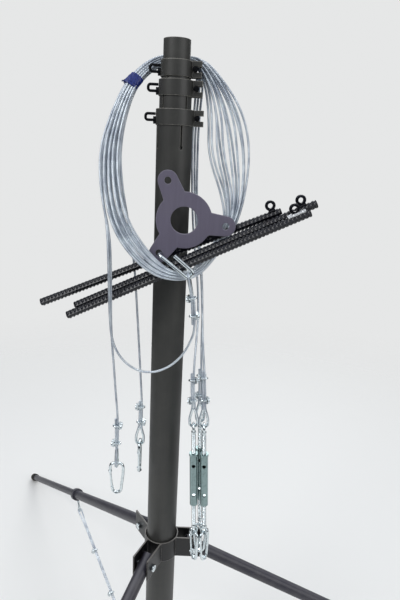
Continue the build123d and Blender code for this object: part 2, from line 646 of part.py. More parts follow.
with BuildPart() as thimbles:
    for name, across in THIMBLE_TURNS.items():
        top, way = thimble_top(name)
        loop_rod(top, way, across - way * across.dot(way), THIMBLE_LENGTH, THIMBLE_WIDTH, THIMBLE_ROD)
finish(thimbles, "thimbles")


def hung_below(top, way, length, rod, next_rod):
    """Middle of the upper bend of a loop hung in a loop that starts at top."""
    return top + way * (length - rod - rod / 2 - next_rod / 2 - SEAT)


# Turnbuckles: an eye screw at each end of a pipe body. The three carabiners below them
# are turned three ways, so that they hang beside each other.
CARABINER_TURNS = {"rope_1_lower_tail": -55.0, "rope_2_lower_tail": 55.0, "rope_3_lower_tail": 0.0}


def level_turn(name, way):
    """Direction across a lower carabiner, square to its chain."""
    turn = outwards(CARABINER_TURNS[name])
    return (turn - way * turn.dot(way)).normalized()


LOWER_TAILS = ("rope_1_lower_tail", "rope_2_lower_tail", "rope_3_lower_tail")
chain_ends = []
with BuildPart() as turnbuckle_screws:
    for name in LOWER_TAILS:
        top, way = thimble_top(name)
        eye_top = hung_below(top, way, THIMBLE_LENGTH, THIMBLE_ROD, SCREW_EYE_ROD)
        eye_radius = (SCREW_EYE_OD - SCREW_EYE_ROD) / 2
        with Locations(Plane(origin=eye_top + way * eye_radius, x_dir=way, z_dir=FACING_FRONT)):
            Torus(eye_radius, SCREW_EYE_ROD / 2)
        neck = eye_top + way * 2 * eye_radius
        with BuildSketch(Plane(origin=neck, z_dir=way)):
            Circle(SCREW_DIAMETER / 2)
        extrude(amount=SCREW_OUT_TOP + SCREW_IN)
        body_top = neck + way * SCREW_OUT_TOP
        low_neck = body_top + way * (BODY_LENGTH + SCREW_OUT_BOTTOM)
        with BuildSketch(Plane(origin=low_neck, z_dir=-way)):
            Circle(SCREW_DIAMETER / 2)
        extrude(amount=SCREW_OUT_BOTTOM + SCREW_IN)
        turn = level_turn(name, way)
        with Locations(Plane(origin=low_neck + way * eye_radius, x_dir=way, z_dir=turn)):
            Torus(eye_radius, SCREW_EYE_ROD / 2)
        chain_ends.append((body_top, low_neck, way, turn))
finish(turnbuckle_screws, "turnbuckle_screws")

with BuildPart() as turnbuckle_bodies:
    for body_top, low_neck, way, turn in chain_ends:
        upright = Plane(origin=body_top, z_dir=way)
        with BuildSketch(upright):
            Circle(BODY_OD / 2)
        extrude(amount=BODY_LENGTH)
        with BuildSketch(upright):
            Circle(BODY_RING_OD / 2)
        extrude(amount=BODY_RING_LENGTH)
    for body_top, low_neck, way, turn in chain_ends:
        upright = Plane(origin=body_top, z_dir=way)
        with BuildSketch(upright):
            Circle(SCREW_DIAMETER / 2 + TIGHT)
        extrude(amount=BODY_LENGTH, mode=Mode.SUBTRACT)
        with BuildSketch(upright.offset(BODY_HEAD)):
            Circle(BODY_BORE / 2)
        extrude(amount=BODY_LENGTH - 2 * BODY_HEAD, mode=Mode.SUBTRACT)
        for place in (BODY_HOLE_PLACE, BODY_LENGTH - BODY_HOLE_PLACE):
            with BuildSketch(Plane(origin=body_top + way * place, z_dir=(0, 1, 0))):
                Circle(BODY_HOLE / 2)
            extrude(amount=BODY_OD / 2 + SEAT, both=True, mode=Mode.SUBTRACT)
finish(turnbuckle_bodies, "turnbuckle_bodies")

# Carabiners: on the two upper rope ends and on the three turnbuckles
with BuildPart() as carabiners:
    for name, across in (("rope_1_upper_tail", FACING_FRONT), ("rope_2_upper_tail", EDGE_ON)):
        top, way = thimble_top(name)
        hung = hung_below(top, way, THIMBLE_LENGTH, THIMBLE_ROD, LINK_ROD)
        loop_rod(hung, way, across, LINK_LENGTH, LINK_WIDTH, LINK_ROD)
    for body_top, low_neck, way, turn in chain_ends:
        hung = hung_below(low_neck, way, SCREW_EYE_OD, SCREW_EYE_ROD, LINK_ROD)
        loop_rod(hung, way, turn, LINK_LENGTH, LINK_WIDTH, LINK_ROD)
finish(carabiners, "carabiners")

# Hook through the guy plate's lower lug, in which rope 3's thimble hangs
with BuildPart() as plate_hook:
    with BuildLine() as hook_line:
        FilletPolyline(*HOOK_PATH, radius=HOOK_BENDS)
    hook_wire = hook_line.wires()[0]
    with BuildSketch(Plane(origin=hook_wire @ 0, z_dir=hook_wire % 0)):
        Circle(LINK_ROD / 2)
    sweep(path=hook_wire)
finish(plate_hook, "plate_hook")
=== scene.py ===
import math
import random

import bmesh
import bpy
import numpy as np
from mathutils import Matrix, Vector


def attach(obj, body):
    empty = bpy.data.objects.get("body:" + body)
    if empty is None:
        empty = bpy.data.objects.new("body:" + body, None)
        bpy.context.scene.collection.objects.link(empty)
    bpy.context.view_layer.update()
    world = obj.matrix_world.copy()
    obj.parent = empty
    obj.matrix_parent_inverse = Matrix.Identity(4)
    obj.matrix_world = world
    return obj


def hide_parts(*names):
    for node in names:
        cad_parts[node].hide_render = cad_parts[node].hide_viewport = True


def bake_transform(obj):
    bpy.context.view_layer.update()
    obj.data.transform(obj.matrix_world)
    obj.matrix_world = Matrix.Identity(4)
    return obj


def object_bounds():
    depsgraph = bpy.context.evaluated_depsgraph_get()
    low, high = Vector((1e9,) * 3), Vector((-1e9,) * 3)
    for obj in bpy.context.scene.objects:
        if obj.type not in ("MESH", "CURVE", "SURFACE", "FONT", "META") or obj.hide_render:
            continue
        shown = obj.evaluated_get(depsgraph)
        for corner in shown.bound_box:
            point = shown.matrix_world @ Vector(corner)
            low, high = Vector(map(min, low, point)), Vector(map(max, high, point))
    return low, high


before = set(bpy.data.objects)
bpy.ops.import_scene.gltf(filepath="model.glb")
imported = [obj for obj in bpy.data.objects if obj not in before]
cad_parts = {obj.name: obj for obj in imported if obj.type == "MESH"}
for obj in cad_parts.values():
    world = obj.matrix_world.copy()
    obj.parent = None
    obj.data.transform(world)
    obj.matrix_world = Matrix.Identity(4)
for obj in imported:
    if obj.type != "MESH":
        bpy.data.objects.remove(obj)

bl_info = {
    "name": "Radio mast dressing",
    "version": (1, 0, 0),
    "blender": (4, 5, 0),
    "location": "3D View > Sidebar > Mast",
    "description": "Finishes, wire rope, fittings and stage of a portable telescopic mast",
    "category": "Object",
}

BOX_OF_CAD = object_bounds()
MM = 0.001
UP = Vector((0, 0, 1))
DOWN = Vector((0, 0, -1))
ACROSS_X = Vector((1, 0, 0))
ACROSS_Y = Vector((0, 1, 0))

# Wire rope routes and the coil, in metres, as the solids have them. Rope 3's upper end and points 10 to 12
# of the coil are moved, to follow the photograph.
ROPE_UPPER = (
    ((-0.0943, -0.079, 1.1521), (-0.0915, -0.0815, 1.098), (-0.0915, -0.0825, 1.048), (-0.092, -0.079, 1.0),
     (-0.0915, -0.071, 0.954), (-0.0895, -0.063, 0.907), (-0.0875, -0.058, 0.859), (-0.0855, -0.056, 0.812),
     (-0.085, -0.0565, 0.768), (-0.0855, -0.0565, 0.739)),
    ((-0.0785, -0.048, 1.218), (-0.071, -0.038, 1.17), (-0.064, -0.032, 1.122), (-0.059, -0.0285, 1.074),
     (-0.056, -0.0265, 1.026), (-0.053, -0.0255, 0.978), (-0.05, -0.025, 0.93), (-0.047, -0.0252, 0.881),
     (-0.045, -0.026, 0.834), (-0.0448, -0.0265, 0.796), (-0.046, -0.0265, 0.77)),
    ((-0.0984, -0.0769, 1.1611), (-0.0945, -0.088, 1.11), (-0.0935, -0.0885, 1.06), (-0.0925, -0.088, 1.01),
     (-0.089, -0.086, 0.966), (-0.072, -0.084, 0.933), (-0.046, -0.0835, 0.9145), (-0.018, -0.083, 0.9125),
     (0.009, -0.083, 0.9245), (0.031, -0.084, 0.947), (0.044, -0.086, 0.974), (0.0493, -0.0888, 0.998),
     (0.0455, -0.0933, 1.046), (0.0425, -0.0943, 1.0608)),
)
ROPE_LOWER = (
    ((0.035, 0.0225, 1.4126), (0.031, 0.027, 1.362), (0.0295, 0.028, 1.312), (0.0305, 0.0285, 1.263),
     (0.033, 0.028, 1.215), (0.036, 0.0265, 1.168), (0.0415, 0.0225, 1.122), (0.048, 0.016, 1.077),
     (0.0527, 0.004, 1.034), (0.055, -0.012, 0.991), (0.0535, -0.0305, 0.948), (0.0505, -0.047, 0.907),
     (0.0515, -0.0575, 0.867), (0.055, -0.061, 0.834)),
    ((0.0396, 0.0228, 1.4085), (0.0358, 0.0275, 1.362), (0.034, 0.029, 1.312), (0.035, 0.03, 1.263),
     (0.0375, 0.03, 1.215), (0.041, 0.0285, 1.17), (0.0475, 0.024, 1.125), (0.055, 0.016, 1.081),
     (0.0592, 0.004, 1.038), (0.0625, -0.012, 0.996), (0.0655, -0.0295, 0.953), (0.069, -0.045, 0.912),
     (0.0722, -0.057, 0.871), (0.074, -0.061, 0.834)),
    ((0.0447, 0.0217, 1.4006), (0.0408, 0.0265, 1.358), (0.039, 0.03, 1.311), (0.0398, 0.032, 1.264),
     (0.041, 0.034, 1.216), (0.044, 0.033, 1.17), (0.05, 0.029, 1.125), (0.056, 0.022, 1.081),
     (0.06, 0.0105, 1.038), (0.0625, -0.004, 0.994), (0.0633, -0.0175, 0.95), (0.0638, -0.0285, 0.908),
     (0.066, -0.036, 0.869), (0.0665, -0.041, 0.834)),
)
# Middle of the coil's bundle, its half width across the coil and its half depth
COIL = (
    ((0.002, 0.041, 1.4295), 0.009, 0.006), ((0.035, 0.0184, 1.427), 0.009, 0.0075),
    ((0.062, 0.016, 1.395), 0.017, 0.006), ((0.0835, 0.01, 1.345), 0.0305, 0.006),
    ((0.093, 0.002, 1.285), 0.039, 0.006), ((0.107, -0.01, 1.215), 0.022, 0.006),
    ((0.1025, -0.022, 1.165), 0.011, 0.006), ((0.08, -0.028, 1.125), 0.01, 0.007),
    ((0.05, -0.054, 1.086), 0.008, 0.007), ((0.018, -0.084, 1.086), 0.0085, 0.006),
    ((-0.0137, -0.087, 1.0955), 0.0135, 0.006), ((-0.0465, -0.085, 1.1203), 0.0175, 0.006),
    ((-0.0781, -0.076, 1.1622), 0.019, 0.007), ((-0.096, -0.058, 1.215), 0.019, 0.008),
    ((-0.101, -0.038, 1.275), 0.0185, 0.008), ((-0.092, -0.018, 1.33), 0.014, 0.009),
    ((-0.074, -0.002, 1.383), 0.011, 0.008), ((-0.048, 0.016, 1.414), 0.0095, 0.007),
    ((-0.024, 0.036, 1.429), 0.009, 0.006),
)
COIL_MIDDLE = Vector((0, -0.02, 1.255))
COIL_LEFT = (0, 18, 17, 16, 15, 14, 13)
COIL_REST = (12, 11, 10, 9, 8, 7, 6, 5, 4, 3, 2, 1)
TURNS = (4, 4, 3)                      # whole turns of each guy
ROPE_ENDS = {                          # end of the rope, and the way across its thimble
    "upper_1": (ROPE_UPPER[0], ACROSS_Y), "upper_2": (ROPE_UPPER[1], ACROSS_X),
    "upper_3": (ROPE_UPPER[2], ACROSS_Y), "lower_1": (ROPE_LOWER[0], ACROSS_X),
    "lower_2": (ROPE_LOWER[1], ACROSS_X), "lower_3": (ROPE_LOWER[2], ACROSS_X),
}
CHAIN_LEAN = {"lower_1": 2.6, "lower_2": 2.9, "lower_3": 2.6}
LINK_TURN = {"lower_1": -55.0, "lower_2": 55.0, "lower_3": 0.0}
STAKES = (                             # foot, slope, and the ring's place from the upper end
    ((-0.2202, -0.0445, 1.0177), 23.8, 0.014), ((-0.1582, -0.0556, 1.0184), 26.1, 0.022),
    ((-0.1687, -0.0681, 1.0044), 26.2, 0.022),
)
STAKE_LENGTH = 0.441
# Outline of the nut welded on a stake: place along its axis and radius
STAKE_NUT = ((0.0, 0.0043), (0.0, 0.0074), (0.0012, 0.0085), (0.0035, 0.0089), (0.0058, 0.0085), (0.007, 0.0074),
             (0.007, 0.0043), (0.0035, 0.0039), (0.0, 0.0043))
ROPE_SIZE = 0.004
# Corners of a rope's eye, along its way and across it, in mm
EYE_CORNERS = ((-2.0, 2.3), (8.0, 5.2), (18.0, 7.8), (24.5, 7.6), (30.9, 7.5), (35.3, 3.1))

LEG_AZIMUTHS = (1.0, 124.0, 246.0)
LEG_SLOPE = math.radians(26.5)         # below level
PIVOT_OUT, PIVOT_HEIGHT = 0.068, 0.482
FOOT_DROP = 0.469                      # from the pivot's height to the foot's
LUG_OUT, LUG_HEIGHT = 0.0383, 0.016    # lug of a stay on the foot plate
SET_BOLT_AZIMUTH, SET_BOLT_HEIGHT = math.radians(65.0), 0.4875
STAY_CLAMP_OUT = 0.504                 # from the pivot along the leg
COLLAR_RADIUS, CLEVIS_EDGES = 35.0, (14.0, 17.0)  # mm, edges of a clevis plate from its middle
CLEVIS_ENDS = (0.467, 0.508)
CLAMPS = ((60, 1348, "base"), (53, 1393, "second_section"), (48, 1422, "third_section"))  # tube, top, body

SENSOR_WIDTH = 36.0
FOCAL_LENGTH_IN_PIXELS = 507.7
PHOTO_HEIGHT_IN_PIXELS = 600
LAMPS = (                              # name, place, size and power
    ("key_lamp", (-1.9, -1.6, 3.0), 1.8, 46.0), ("fill_lamp", (2.2, -1.4, 1.9), 2.2, 22.0),
    ("back_lamp", (0.6, 2.4, 2.8), 2.0, 30.0),
)


# Shapes
def link(obj):
    bpy.context.scene.collection.objects.link(obj)
    return obj


def mesh_piece(name, points, faces, material, smooth=True, uv=None):
    """Mesh object from points in the row frame, its faces turned outwards."""
    mesh = bpy.data.meshes.new(name)
    mesh.from_pydata([tuple(p) for p in points], [], [tuple(f) for f in faces])
    if uv is not None:
        layer = mesh.uv_layers.new(name="along_and_round")
        flat = np.array([uv[v] for f in faces for v in f], np.float32)
        layer.data.foreach_set("uv", flat.ravel())
    work = bmesh.new()
    work.from_mesh(mesh)
    bmesh.ops.recalc_face_normals(work, faces=work.faces)
    work.to_mesh(mesh)
    work.free()
    mesh.polygons.foreach_set("use_smooth", [smooth] * len(mesh.polygons))
    if smooth:
        mesh.set_sharp_from_angle(angle=math.radians(38))
    mesh.materials.append(material)
    return link(bpy.data.objects.new(name, mesh))


def join_parts(parts):
    """One list of points and one of faces from several."""
    points, faces = [], []
    for some_points, some_faces in parts:
        start = len(points)
        points.extend(some_points)
        faces.extend([tuple(start + k for k in f) for f in some_faces])
    return points, faces


def ring_faces(rings, sides, closed=False):
    """Quads between rings of points; closed joins the last ring to the first."""
    faces = []
    for ring in range(rings if closed else rings - 1):
        after = (ring + 1) % rings
        for k in range(sides):
            beside = (k + 1) % sides
            faces.append((ring * sides + k, ring * sides + beside, after * sides + beside, after * sides + k))
    return faces


def end_faces(rings, sides):
    """The two faces that close the first and the last ring."""
    return [tuple(range(sides))[::-1], tuple((rings - 1) * sides + k for k in range(sides))]


def side_ways(way, beside=None):
    """A way as a unit vector and two directions square to it, the first nearest to beside."""
    way = Vector(way).normalized()
    first = Vector(beside) if beside is not None else (UP if abs(way.z) < 0.8 else ACROSS_X)
    first = (first - way * first.dot(way)).normalized()
    return way, first, way.cross(first)


def frames_along(path, closed, normal):
    """The path as an array and two side directions at each of its points."""
    path = np.array([tuple(p) for p in path], float)
    if closed:
        ahead, back = np.roll(path, -1, 0), np.roll(path, 1, 0)
    else:
        ahead = np.vstack([path[1:], path[-1] + (path[-1] - path[-2])])
        back = np.vstack([path[0] - (path[1] - path[0]), path[:-1]])
    tangent = ahead - back
    tangent /= np.linalg.norm(tangent, axis=1)[:, None]
    side = np.zeros_like(path)
    if normal is not None:
        side[:] = np.array(tuple(normal), float)
        side -= (side * tangent).sum(1)[:, None] * tangent
        side /= np.linalg.norm(side, axis=1)[:, None]
    else:
        start = np.array([0.0, 0.0, 1.0]) if abs(tangent[0][2]) < 0.8 else np.array([1.0, 0.0, 0.0])
        current = start - start.dot(tangent[0]) * tangent[0]
        for k in range(len(path)):
            current = current - current.dot(tangent[k]) * tangent[k]
            current /= np.linalg.norm(current)
            side[k] = current
    return path, side, np.cross(tangent, side)


def sweep(path, profile, closed=False, normal=None):
    """Points and faces of a profile carried along a path. The profile is one list of pairs, or one for
    each path point: the first number runs along the second side direction, the other along the first."""
    path, first, second = frames_along(path, closed, normal)
    many = not isinstance(profile[0][0], (int, float))
    around = len(profile[0]) if many else len(profile)
    table = np.array(profile, float) if many else np.repeat(np.array(profile, float)[None], len(path), 0)
    points = path[:, None] + table[:, :, :1] * second[:, None] + table[:, :, 1:] * first[:, None]
    faces = ring_faces(len(path), around, closed)
    if not closed:
        faces += end_faces(len(path), around)
    return points.reshape(-1, 3).tolist(), faces


def circle(radius, sides=12):
    angles = [2 * math.pi * k / sides for k in range(sides)]
    return [(radius * math.cos(angle), radius * math.sin(angle)) for angle in angles]


def rod(path, radius, sides=12, closed=False, normal=None):
    return sweep(path, circle(radius, sides), closed, normal)


def turned(origin, way, outline, sides=24, beside=None, capped=True):
    """Points and faces of a lathe shape: the outline is pairs of place along the way and radius."""
    way, first, second = side_ways(way, beside)
    points = []
    for place, radius in outline:
        for k in range(sides):
            angle = 2 * math.pi * k / sides
            points.append(Vector(origin) + way * place + first * radius * math.cos(angle)
                          + second * radius * math.sin(angle))
    faces = ring_faces(len(outline), sides)
    if capped:
        faces += end_faces(len(outline), sides)
    return points, faces


def hex_nut(origin, way, width, height, bore, beside=None):
    """Hexagon nut with chamfered corners and an open bore; the origin is the middle of its lower face."""
    way, first, second = side_ways(way, beside)
    sides, chamfer = 24, 0.07 * width
    rings = ((0, "in"), (0, "low"), (chamfer, "hex"), (height - chamfer, "hex"), (height, "low"), (height, "in"))
    points = []
    for place, kind in rings:
        for k in range(sides):
            angle = 2 * math.pi * k / sides
            off = (angle + math.pi / 6) % (math.pi / 3) - math.pi / 6
            hexagon = width / 2 / math.cos(off)
            radius = {"in": bore / 2, "low": min(hexagon, width / 2 * 1.01), "hex": hexagon}[kind]
            points.append(Vector(origin) + way * place + first * radius * math.cos(angle)
                          + second * radius * math.sin(angle))
    return points, ring_faces(len(rings), sides, closed=True)


def block(middle, x_dir, y_dir, z_dir, sizes, edge):
    """Box with rounded edges, its sizes along the three directions."""
    work = bmesh.new()
    bmesh.ops.create_cube(work, size=1.0)
    matrix = Matrix((
        (x_dir[0] * sizes[0], y_dir[0] * sizes[1], z_dir[0] * sizes[2], middle[0]),
        (x_dir[1] * sizes[0], y_dir[1] * sizes[1], z_dir[1] * sizes[2], middle[1]),
        (x_dir[2] * sizes[0], y_dir[2] * sizes[1], z_dir[2] * sizes[2], middle[2]), (0, 0, 0, 1)))
    bmesh.ops.transform(work, matrix=matrix, verts=work.verts)
    bmesh.ops.bevel(work, geom=work.edges[:], offset=edge, segments=2, profile=0.5, affect="EDGES")
    work.verts.index_update()
    points = [v.co.copy() for v in work.verts]
    faces = [tuple(v.index for v in f.verts) for f in work.faces]
    work.free()
    return points, faces


def weld_bead(path, size, closed=False, seed=0):
    """Uneven bead of weld metal laid along a path."""
    chance = random.Random(seed)
    path = evenly(path, size * 0.55, closed)
    profile = []
    for k in range(len(path)):
        scale = 0.82 + 0.22 * abs(math.sin(k * 1.25)) + chance.uniform(-0.06, 0.06)
        profile.append(circle(size * scale, 8))
    return sweep(path, profile, closed)


def evenly(path, step, closed=False):
    """Evenly spaced points on a line of points."""
    path = np.array([tuple(p) for p in path], float)
    if closed:
        path = np.vstack([path, path[:1]])
    run = np.concatenate([[0], np.cumsum(np.linalg.norm(np.diff(path, axis=0), axis=1))])
    count = max(2, int(round(run[-1] / step)) + 1)
    places = np.linspace(0, run[-1], count)
    if closed:
        places = places[:-1]
    return np.stack([np.interp(places, run, path[:, k]) for k in range(3)], 1)


def spline_line(points):
    """Points read from the smooth spline of a route."""
    curve = bpy.data.curves.new("route", "CURVE")
    curve.dimensions = "3D"
    curve.resolution_u = 22
    spline = curve.splines.new("NURBS")
    spline.points.add(len(points) - 1)
    for place, point in zip(spline.points, points):
        place.co = (*point, 1.0)
    spline.order_u = 3
    spline.use_endpoint_u = True
    holder = link(bpy.data.objects.new("route", curve))
    bpy.context.view_layer.update()
    mesh = bpy.data.meshes.new_from_object(holder)
    line = [tuple(v.co) for v in mesh.vertices]
    bpy.data.objects.remove(holder)
    bpy.data.meshes.remove(mesh)
    bpy.data.curves.remove(curve)
    return line


def stranded(path, diameter, lay_length):
    """Wire rope of six outer strands laid round each other, along the points of its line."""
    path = np.array(path)
    length = np.linalg.norm(np.diff(path, axis=0), axis=1)
    run = np.concatenate([[0], np.cumsum(length)])
    sides = 18
    profiles, uv = [], []
    for s in run:
        turn = 2 * math.pi * s / lay_length
        ring = []
        for k in range(sides):
            angle = 2 * math.pi * k / sides
            radius = diameter / 2 * (0.87 + 0.13 * abs(math.cos(3 * angle)) ** 0.8)
            ring.append((radius * math.cos(angle + turn), radius * math.sin(angle + turn)))
            uv.append((s, k / sides))
        profiles.append(ring)
    points, faces = sweep(path, profiles)
    return points, faces, uv, path


# Rope route
def coil_axes(index):
    """Middle of the bundle at a section, and its directions outwards and through the coil."""
    centre, wide, deep = COIL[index]
    centre = Vector(centre)
    way = Vector(COIL[(index + 1) % len(COIL)][0]) - Vector(COIL[index - 1][0])
    way.normalize()
    outward = centre - COIL_MIDDLE
    outward = (outward - way * outward.dot(way)).normalized()
    return centre, outward, way.cross(outward), wide, deep


def lanes(passes):
    """Place of each strand in the bundle, from the inner edge out, -1 to 1, and its layer."""
    table = {}
    for rank, key in enumerate(passes):
        table[key] = (-1 + 2 * rank / (len(passes) - 1), rank % 3 - 1)
    return table


all_passes = [(rope, turn) for turn in range(5) for rope in range(3)]
left_order = [(1, TURNS[1])] + [p for p in all_passes if p[1] <= TURNS[p[0]] and p != (1, TURNS[1])]
right_order = [p for p in all_passes if p[1] < TURNS[p[0]]]
LEFT_LANES = lanes(left_order)
RIGHT_LANES = lanes(right_order)


def strand_point(index, lane, rope, turn):
    """Point of a strand at a section of the coil, a little out of its lane where nothing ties it."""
    place, layer = lane
    centre, outward, through, wide, deep = coil_axes(index)
    stray = 0.055 * math.sin(2.1 * index + 3.7 * rope + 5.3 * turn) + 0.04 * math.sin(0.9 * index + 1.9 * turn)
    stray *= min(1.0, wide / 0.02)
    reach = ROPE_SIZE / 2 + 0.0002
    return centre + outward * (place + stray) * (wide - reach) + through * layer * (deep - reach)


def rope_way(key):
    """Way from the rope's end to the far end of its thimble."""
    points, across = ROPE_ENDS[key]
    way = (Vector(points[-1]) - Vector(points[-2])).normalized()
    if key in CHAIN_LEAN:
        lean = math.radians(CHAIN_LEAN[key])
        way = Vector((math.sin(lean), 0, -math.cos(lean)))
    elif way.z < 0:
        way = DOWN.copy()
    return way, (across - way * across.dot(way)).normalized()


def rope_eye(key):
    """Route points of a rope's end: round its thimble and back up beside itself, through the clips."""
    points, _ = ROPE_ENDS[key]
    way, across = rope_way(key)
    end, last, before = Vector(points[-1]), Vector(points[-2]), Vector(points[-3])
    beside = ROPE_SIZE / 2 + 0.0001
    route = [Vector(p) for p in points[:-3]]
    route.append(before + ACROSS_X * beside * 0.6)
    route.append(last + ACROSS_X * beside)
    route.append(end - way * 0.011 + (ACROSS_X * 0.35 + across * 0.65).normalized() * beside)
    route += [end + (way * s + across * c) * MM for s, c in EYE_CORNERS]
    route += [end + (way * s - across * c) * MM for s, c in reversed(EYE_CORNERS)]
    route.append(end - way * 0.011 - (ACROSS_X * 0.35 + across * 0.65).normalized() * beside)
    route.append(last - ACROSS_X * beside)
    route.append(last + (before - last) * 0.82 - ACROSS_X * beside * 1.1)
    return route


def guy_route(rope):
    """Whole route of a guy: from its lower eye up behind the mast, round the coil and down to its upper eye."""
    route = rope_eye(f"lower_{rope + 1}")[::-1]
    for turn in range(TURNS[rope] + 1):
        last = turn == TURNS[rope]
        left = COIL_LEFT[:-1] if last and rope == 1 else COIL_LEFT
        route += [strand_point(k, LEFT_LANES[(rope, turn)], rope, turn) for k in left]
        if not last:
            # the strands change from the left's lanes to the right's between sections 13 and 9
            for k in COIL_REST:
                share = min(1.0, max(0.0, (13 - k) / 4))
                a, b = LEFT_LANES[(rope, turn)], RIGHT_LANES[(rope, turn)]
                lane = (a[0] * (1 - share) + b[0] * share, a[1] * (1 - share) + b[1] * share)
                route.append(strand_point(k, lane, rope, turn))
    return route + rope_eye(f"upper_{rope + 1}")


# Fittings of the guys
def eye_line(key):
    """Middle line of the rope round its thimble."""
    way, across = rope_way(key)
    end = Vector(ROPE_ENDS[key][0][-1])
    down = [end + (way * s + across * c) * MM for s, c in EYE_CORNERS]
    return down + [end + (way * s - across * c) * MM for s, c in reversed(EYE_CORNERS)]


def thimble(key):
    """Pressed gutter round the inside of a rope's eye."""
    way, across = rope_way(key)
    line = evenly(spline_line(eye_line(key)), 0.0009)
    angles = np.radians(np.linspace(-108, 108, 15))
    inner, outer = 0.0021, 0.0029
    gutter = [(inner * math.cos(a), inner * math.sin(a)) for a in angles]
    gutter += [(outer * math.cos(a), outer * math.sin(a)) for a in angles[::-1]]
    return sweep(line, gutter, normal=way.cross(across))


def clip_frames(points):
    """Middle, way along the rope, way across both its legs and way through of each clip."""
    for start, end in ((points[-3], points[-2]), (points[-2], points[-1])):
        way = (Vector(end) - Vector(start)).normalized()
        across = (ACROSS_X - way * way.x).normalized()
        yield (Vector(start) + Vector(end)) / 2, way, across, way.cross(across)


def rope_clip(middle, way, across, through):
    """Wire rope clip: U bolt round both legs of the rope, its bend against across, with saddle and two nuts."""
    def place(a, t, s=0.0):
        return middle + (across * a + through * t + way * s) * MM
    bend = [place(-2.1 - 4.1 * math.sin(a), 4.1 * math.cos(a)) for a in np.radians(np.arange(0, 181, 15))]
    bolt = rod([place(10.4, 4.1)] + bend + [place(10.4, -4.1)], 0.0019, 10, normal=way)
    groove = [(2.1 + 2.1 * math.cos(a), 2.1 * math.sin(a)) for a in np.radians(np.arange(-80, 81, 16))]
    outline = [(7.0, -7.0), (5.0, -7.0), (3.4, -4.4), (2.5, -2.5)] + groove
    outline += [(2.5, 2.5), (3.4, 4.4), (5.0, 7.0), (7.0, 7.0)]
    rings = []
    for s, grow in ((-5.2, 0.9), (-4.6, 1.0), (4.6, 1.0), (5.2, 0.9)):
        rings.append([place(4.8 + (a - 4.8) * grow, t * grow, s) for a, t in outline])
    faces = ring_faces(len(rings), len(outline)) + end_faces(len(rings), len(outline))
    nuts = [hex_nut(place(7.0, t), across, 0.0076, 0.0029, 0.0037, beside=way) for t in (4.1, -4.1)]
    return join_parts([bolt, ([p for ring in rings for p in ring], faces)] + nuts)


def chain_places(key):
    """Places down a lower chain: the upper eye's top, the lower eye's neck, and the way down."""
    way, _ = rope_way(key)
    top = Vector(ROPE_ENDS[key][0][-1]) + way * 2.8 * MM
    eye_top = top + way * 26.7 * MM
    return eye_top, eye_top + way * 227.0 * MM, way


def link_turn(key, way):
    """Way across a chain's last links, square to the chain."""
    turn = level_way(math.radians(LINK_TURN[key]))
    return (turn - way * turn.dot(way)).normalized()


def threaded(origin, way, plain, length, radius=0.004, pitch=0.00125):
    """Bolt with a plain neck and a cut thread."""
    outline = [(0.0, radius * 0.98), (plain, radius * 0.98)]
    for k in range(int((length - plain) / pitch)):
        outline += [(plain + (k + 0.45) * pitch, radius * 0.87), (plain + (k + 1.0) * pitch, radius)]
    outline.append((length, radius * 0.8))
    return turned(origin, way, outline, sides=16)


def eye_screw_shape(neck, way, axis, length):
    """Screw with a forged eye. The neck is where the eye ends and the screw begins, and way runs along it."""
    centre = neck - way * 7.5 * MM
    ring = [centre + (way * math.cos(a) + way.cross(axis) * math.sin(a)) * 7.5 * MM
            for a in np.radians(np.arange(0, 360, 10))]
    eye = rod(ring, 0.0025, 12, closed=True, normal=axis)
    outline = [(0.0, 0.0030), (0.0012, 0.0042), (0.003, 0.0045), (0.0062, 0.0041)]
    shoulder = turned(neck - way * 1.5 * MM, way, outline, sides=16)
    return join_parts([eye, shoulder, threaded(neck, way, 0.007, length)])


def snap_hook(top, way, across):
    """Carabiner bent from rod, with its gate, its hinge pin and the nose that the gate closes on."""
    def place(s, c):
        return top + (way * s + across * c) * MM
    normal = way.cross(across)
    corners = [(17.0, -12.4), (8.0, -12.6), (1.2, -10.0), (0.0, -4.0), (0.0, 4.0), (1.2, 10.0), (8.0, 12.6),
               (20.0, 12.3), (36.0, 10.6), (50.0, 9.0), (59.0, 8.2), (63.6, 4.6), (64.0, 0.0), (63.6, -4.6),
               (59.0, -8.2), (51.0, -9.0)]
    body = rod(evenly(spline_line([place(s, c) for s, c in corners]), 0.0016), 0.0028, 12, normal=normal)
    gate = rod([place(18.0 + 34.0 * k / 8, -12.3 + 3.2 * k / 8) for k in range(9)], 0.0021, 12, normal=normal)
    pin = rod([place(52.5, -8.9) + normal * k * MM for k in (-4.2, -3.8, 3.8, 4.2)], 0.0016, 10, normal=way)
    nose = turned(place(15.2, -12.5), way, [(0.0, 0.0026), (0.0008, 0.0036), (0.0042, 0.0036), (0.005, 0.0026)], 16)
    knob = turned(place(61.0, 0.0), way, [(0.0, 0.0034), (0.0012, 0.0043), (0.0042, 0.0043), (0.0056, 0.003)], 16)
    return join_parts([body, gate, pin, nose, knob])


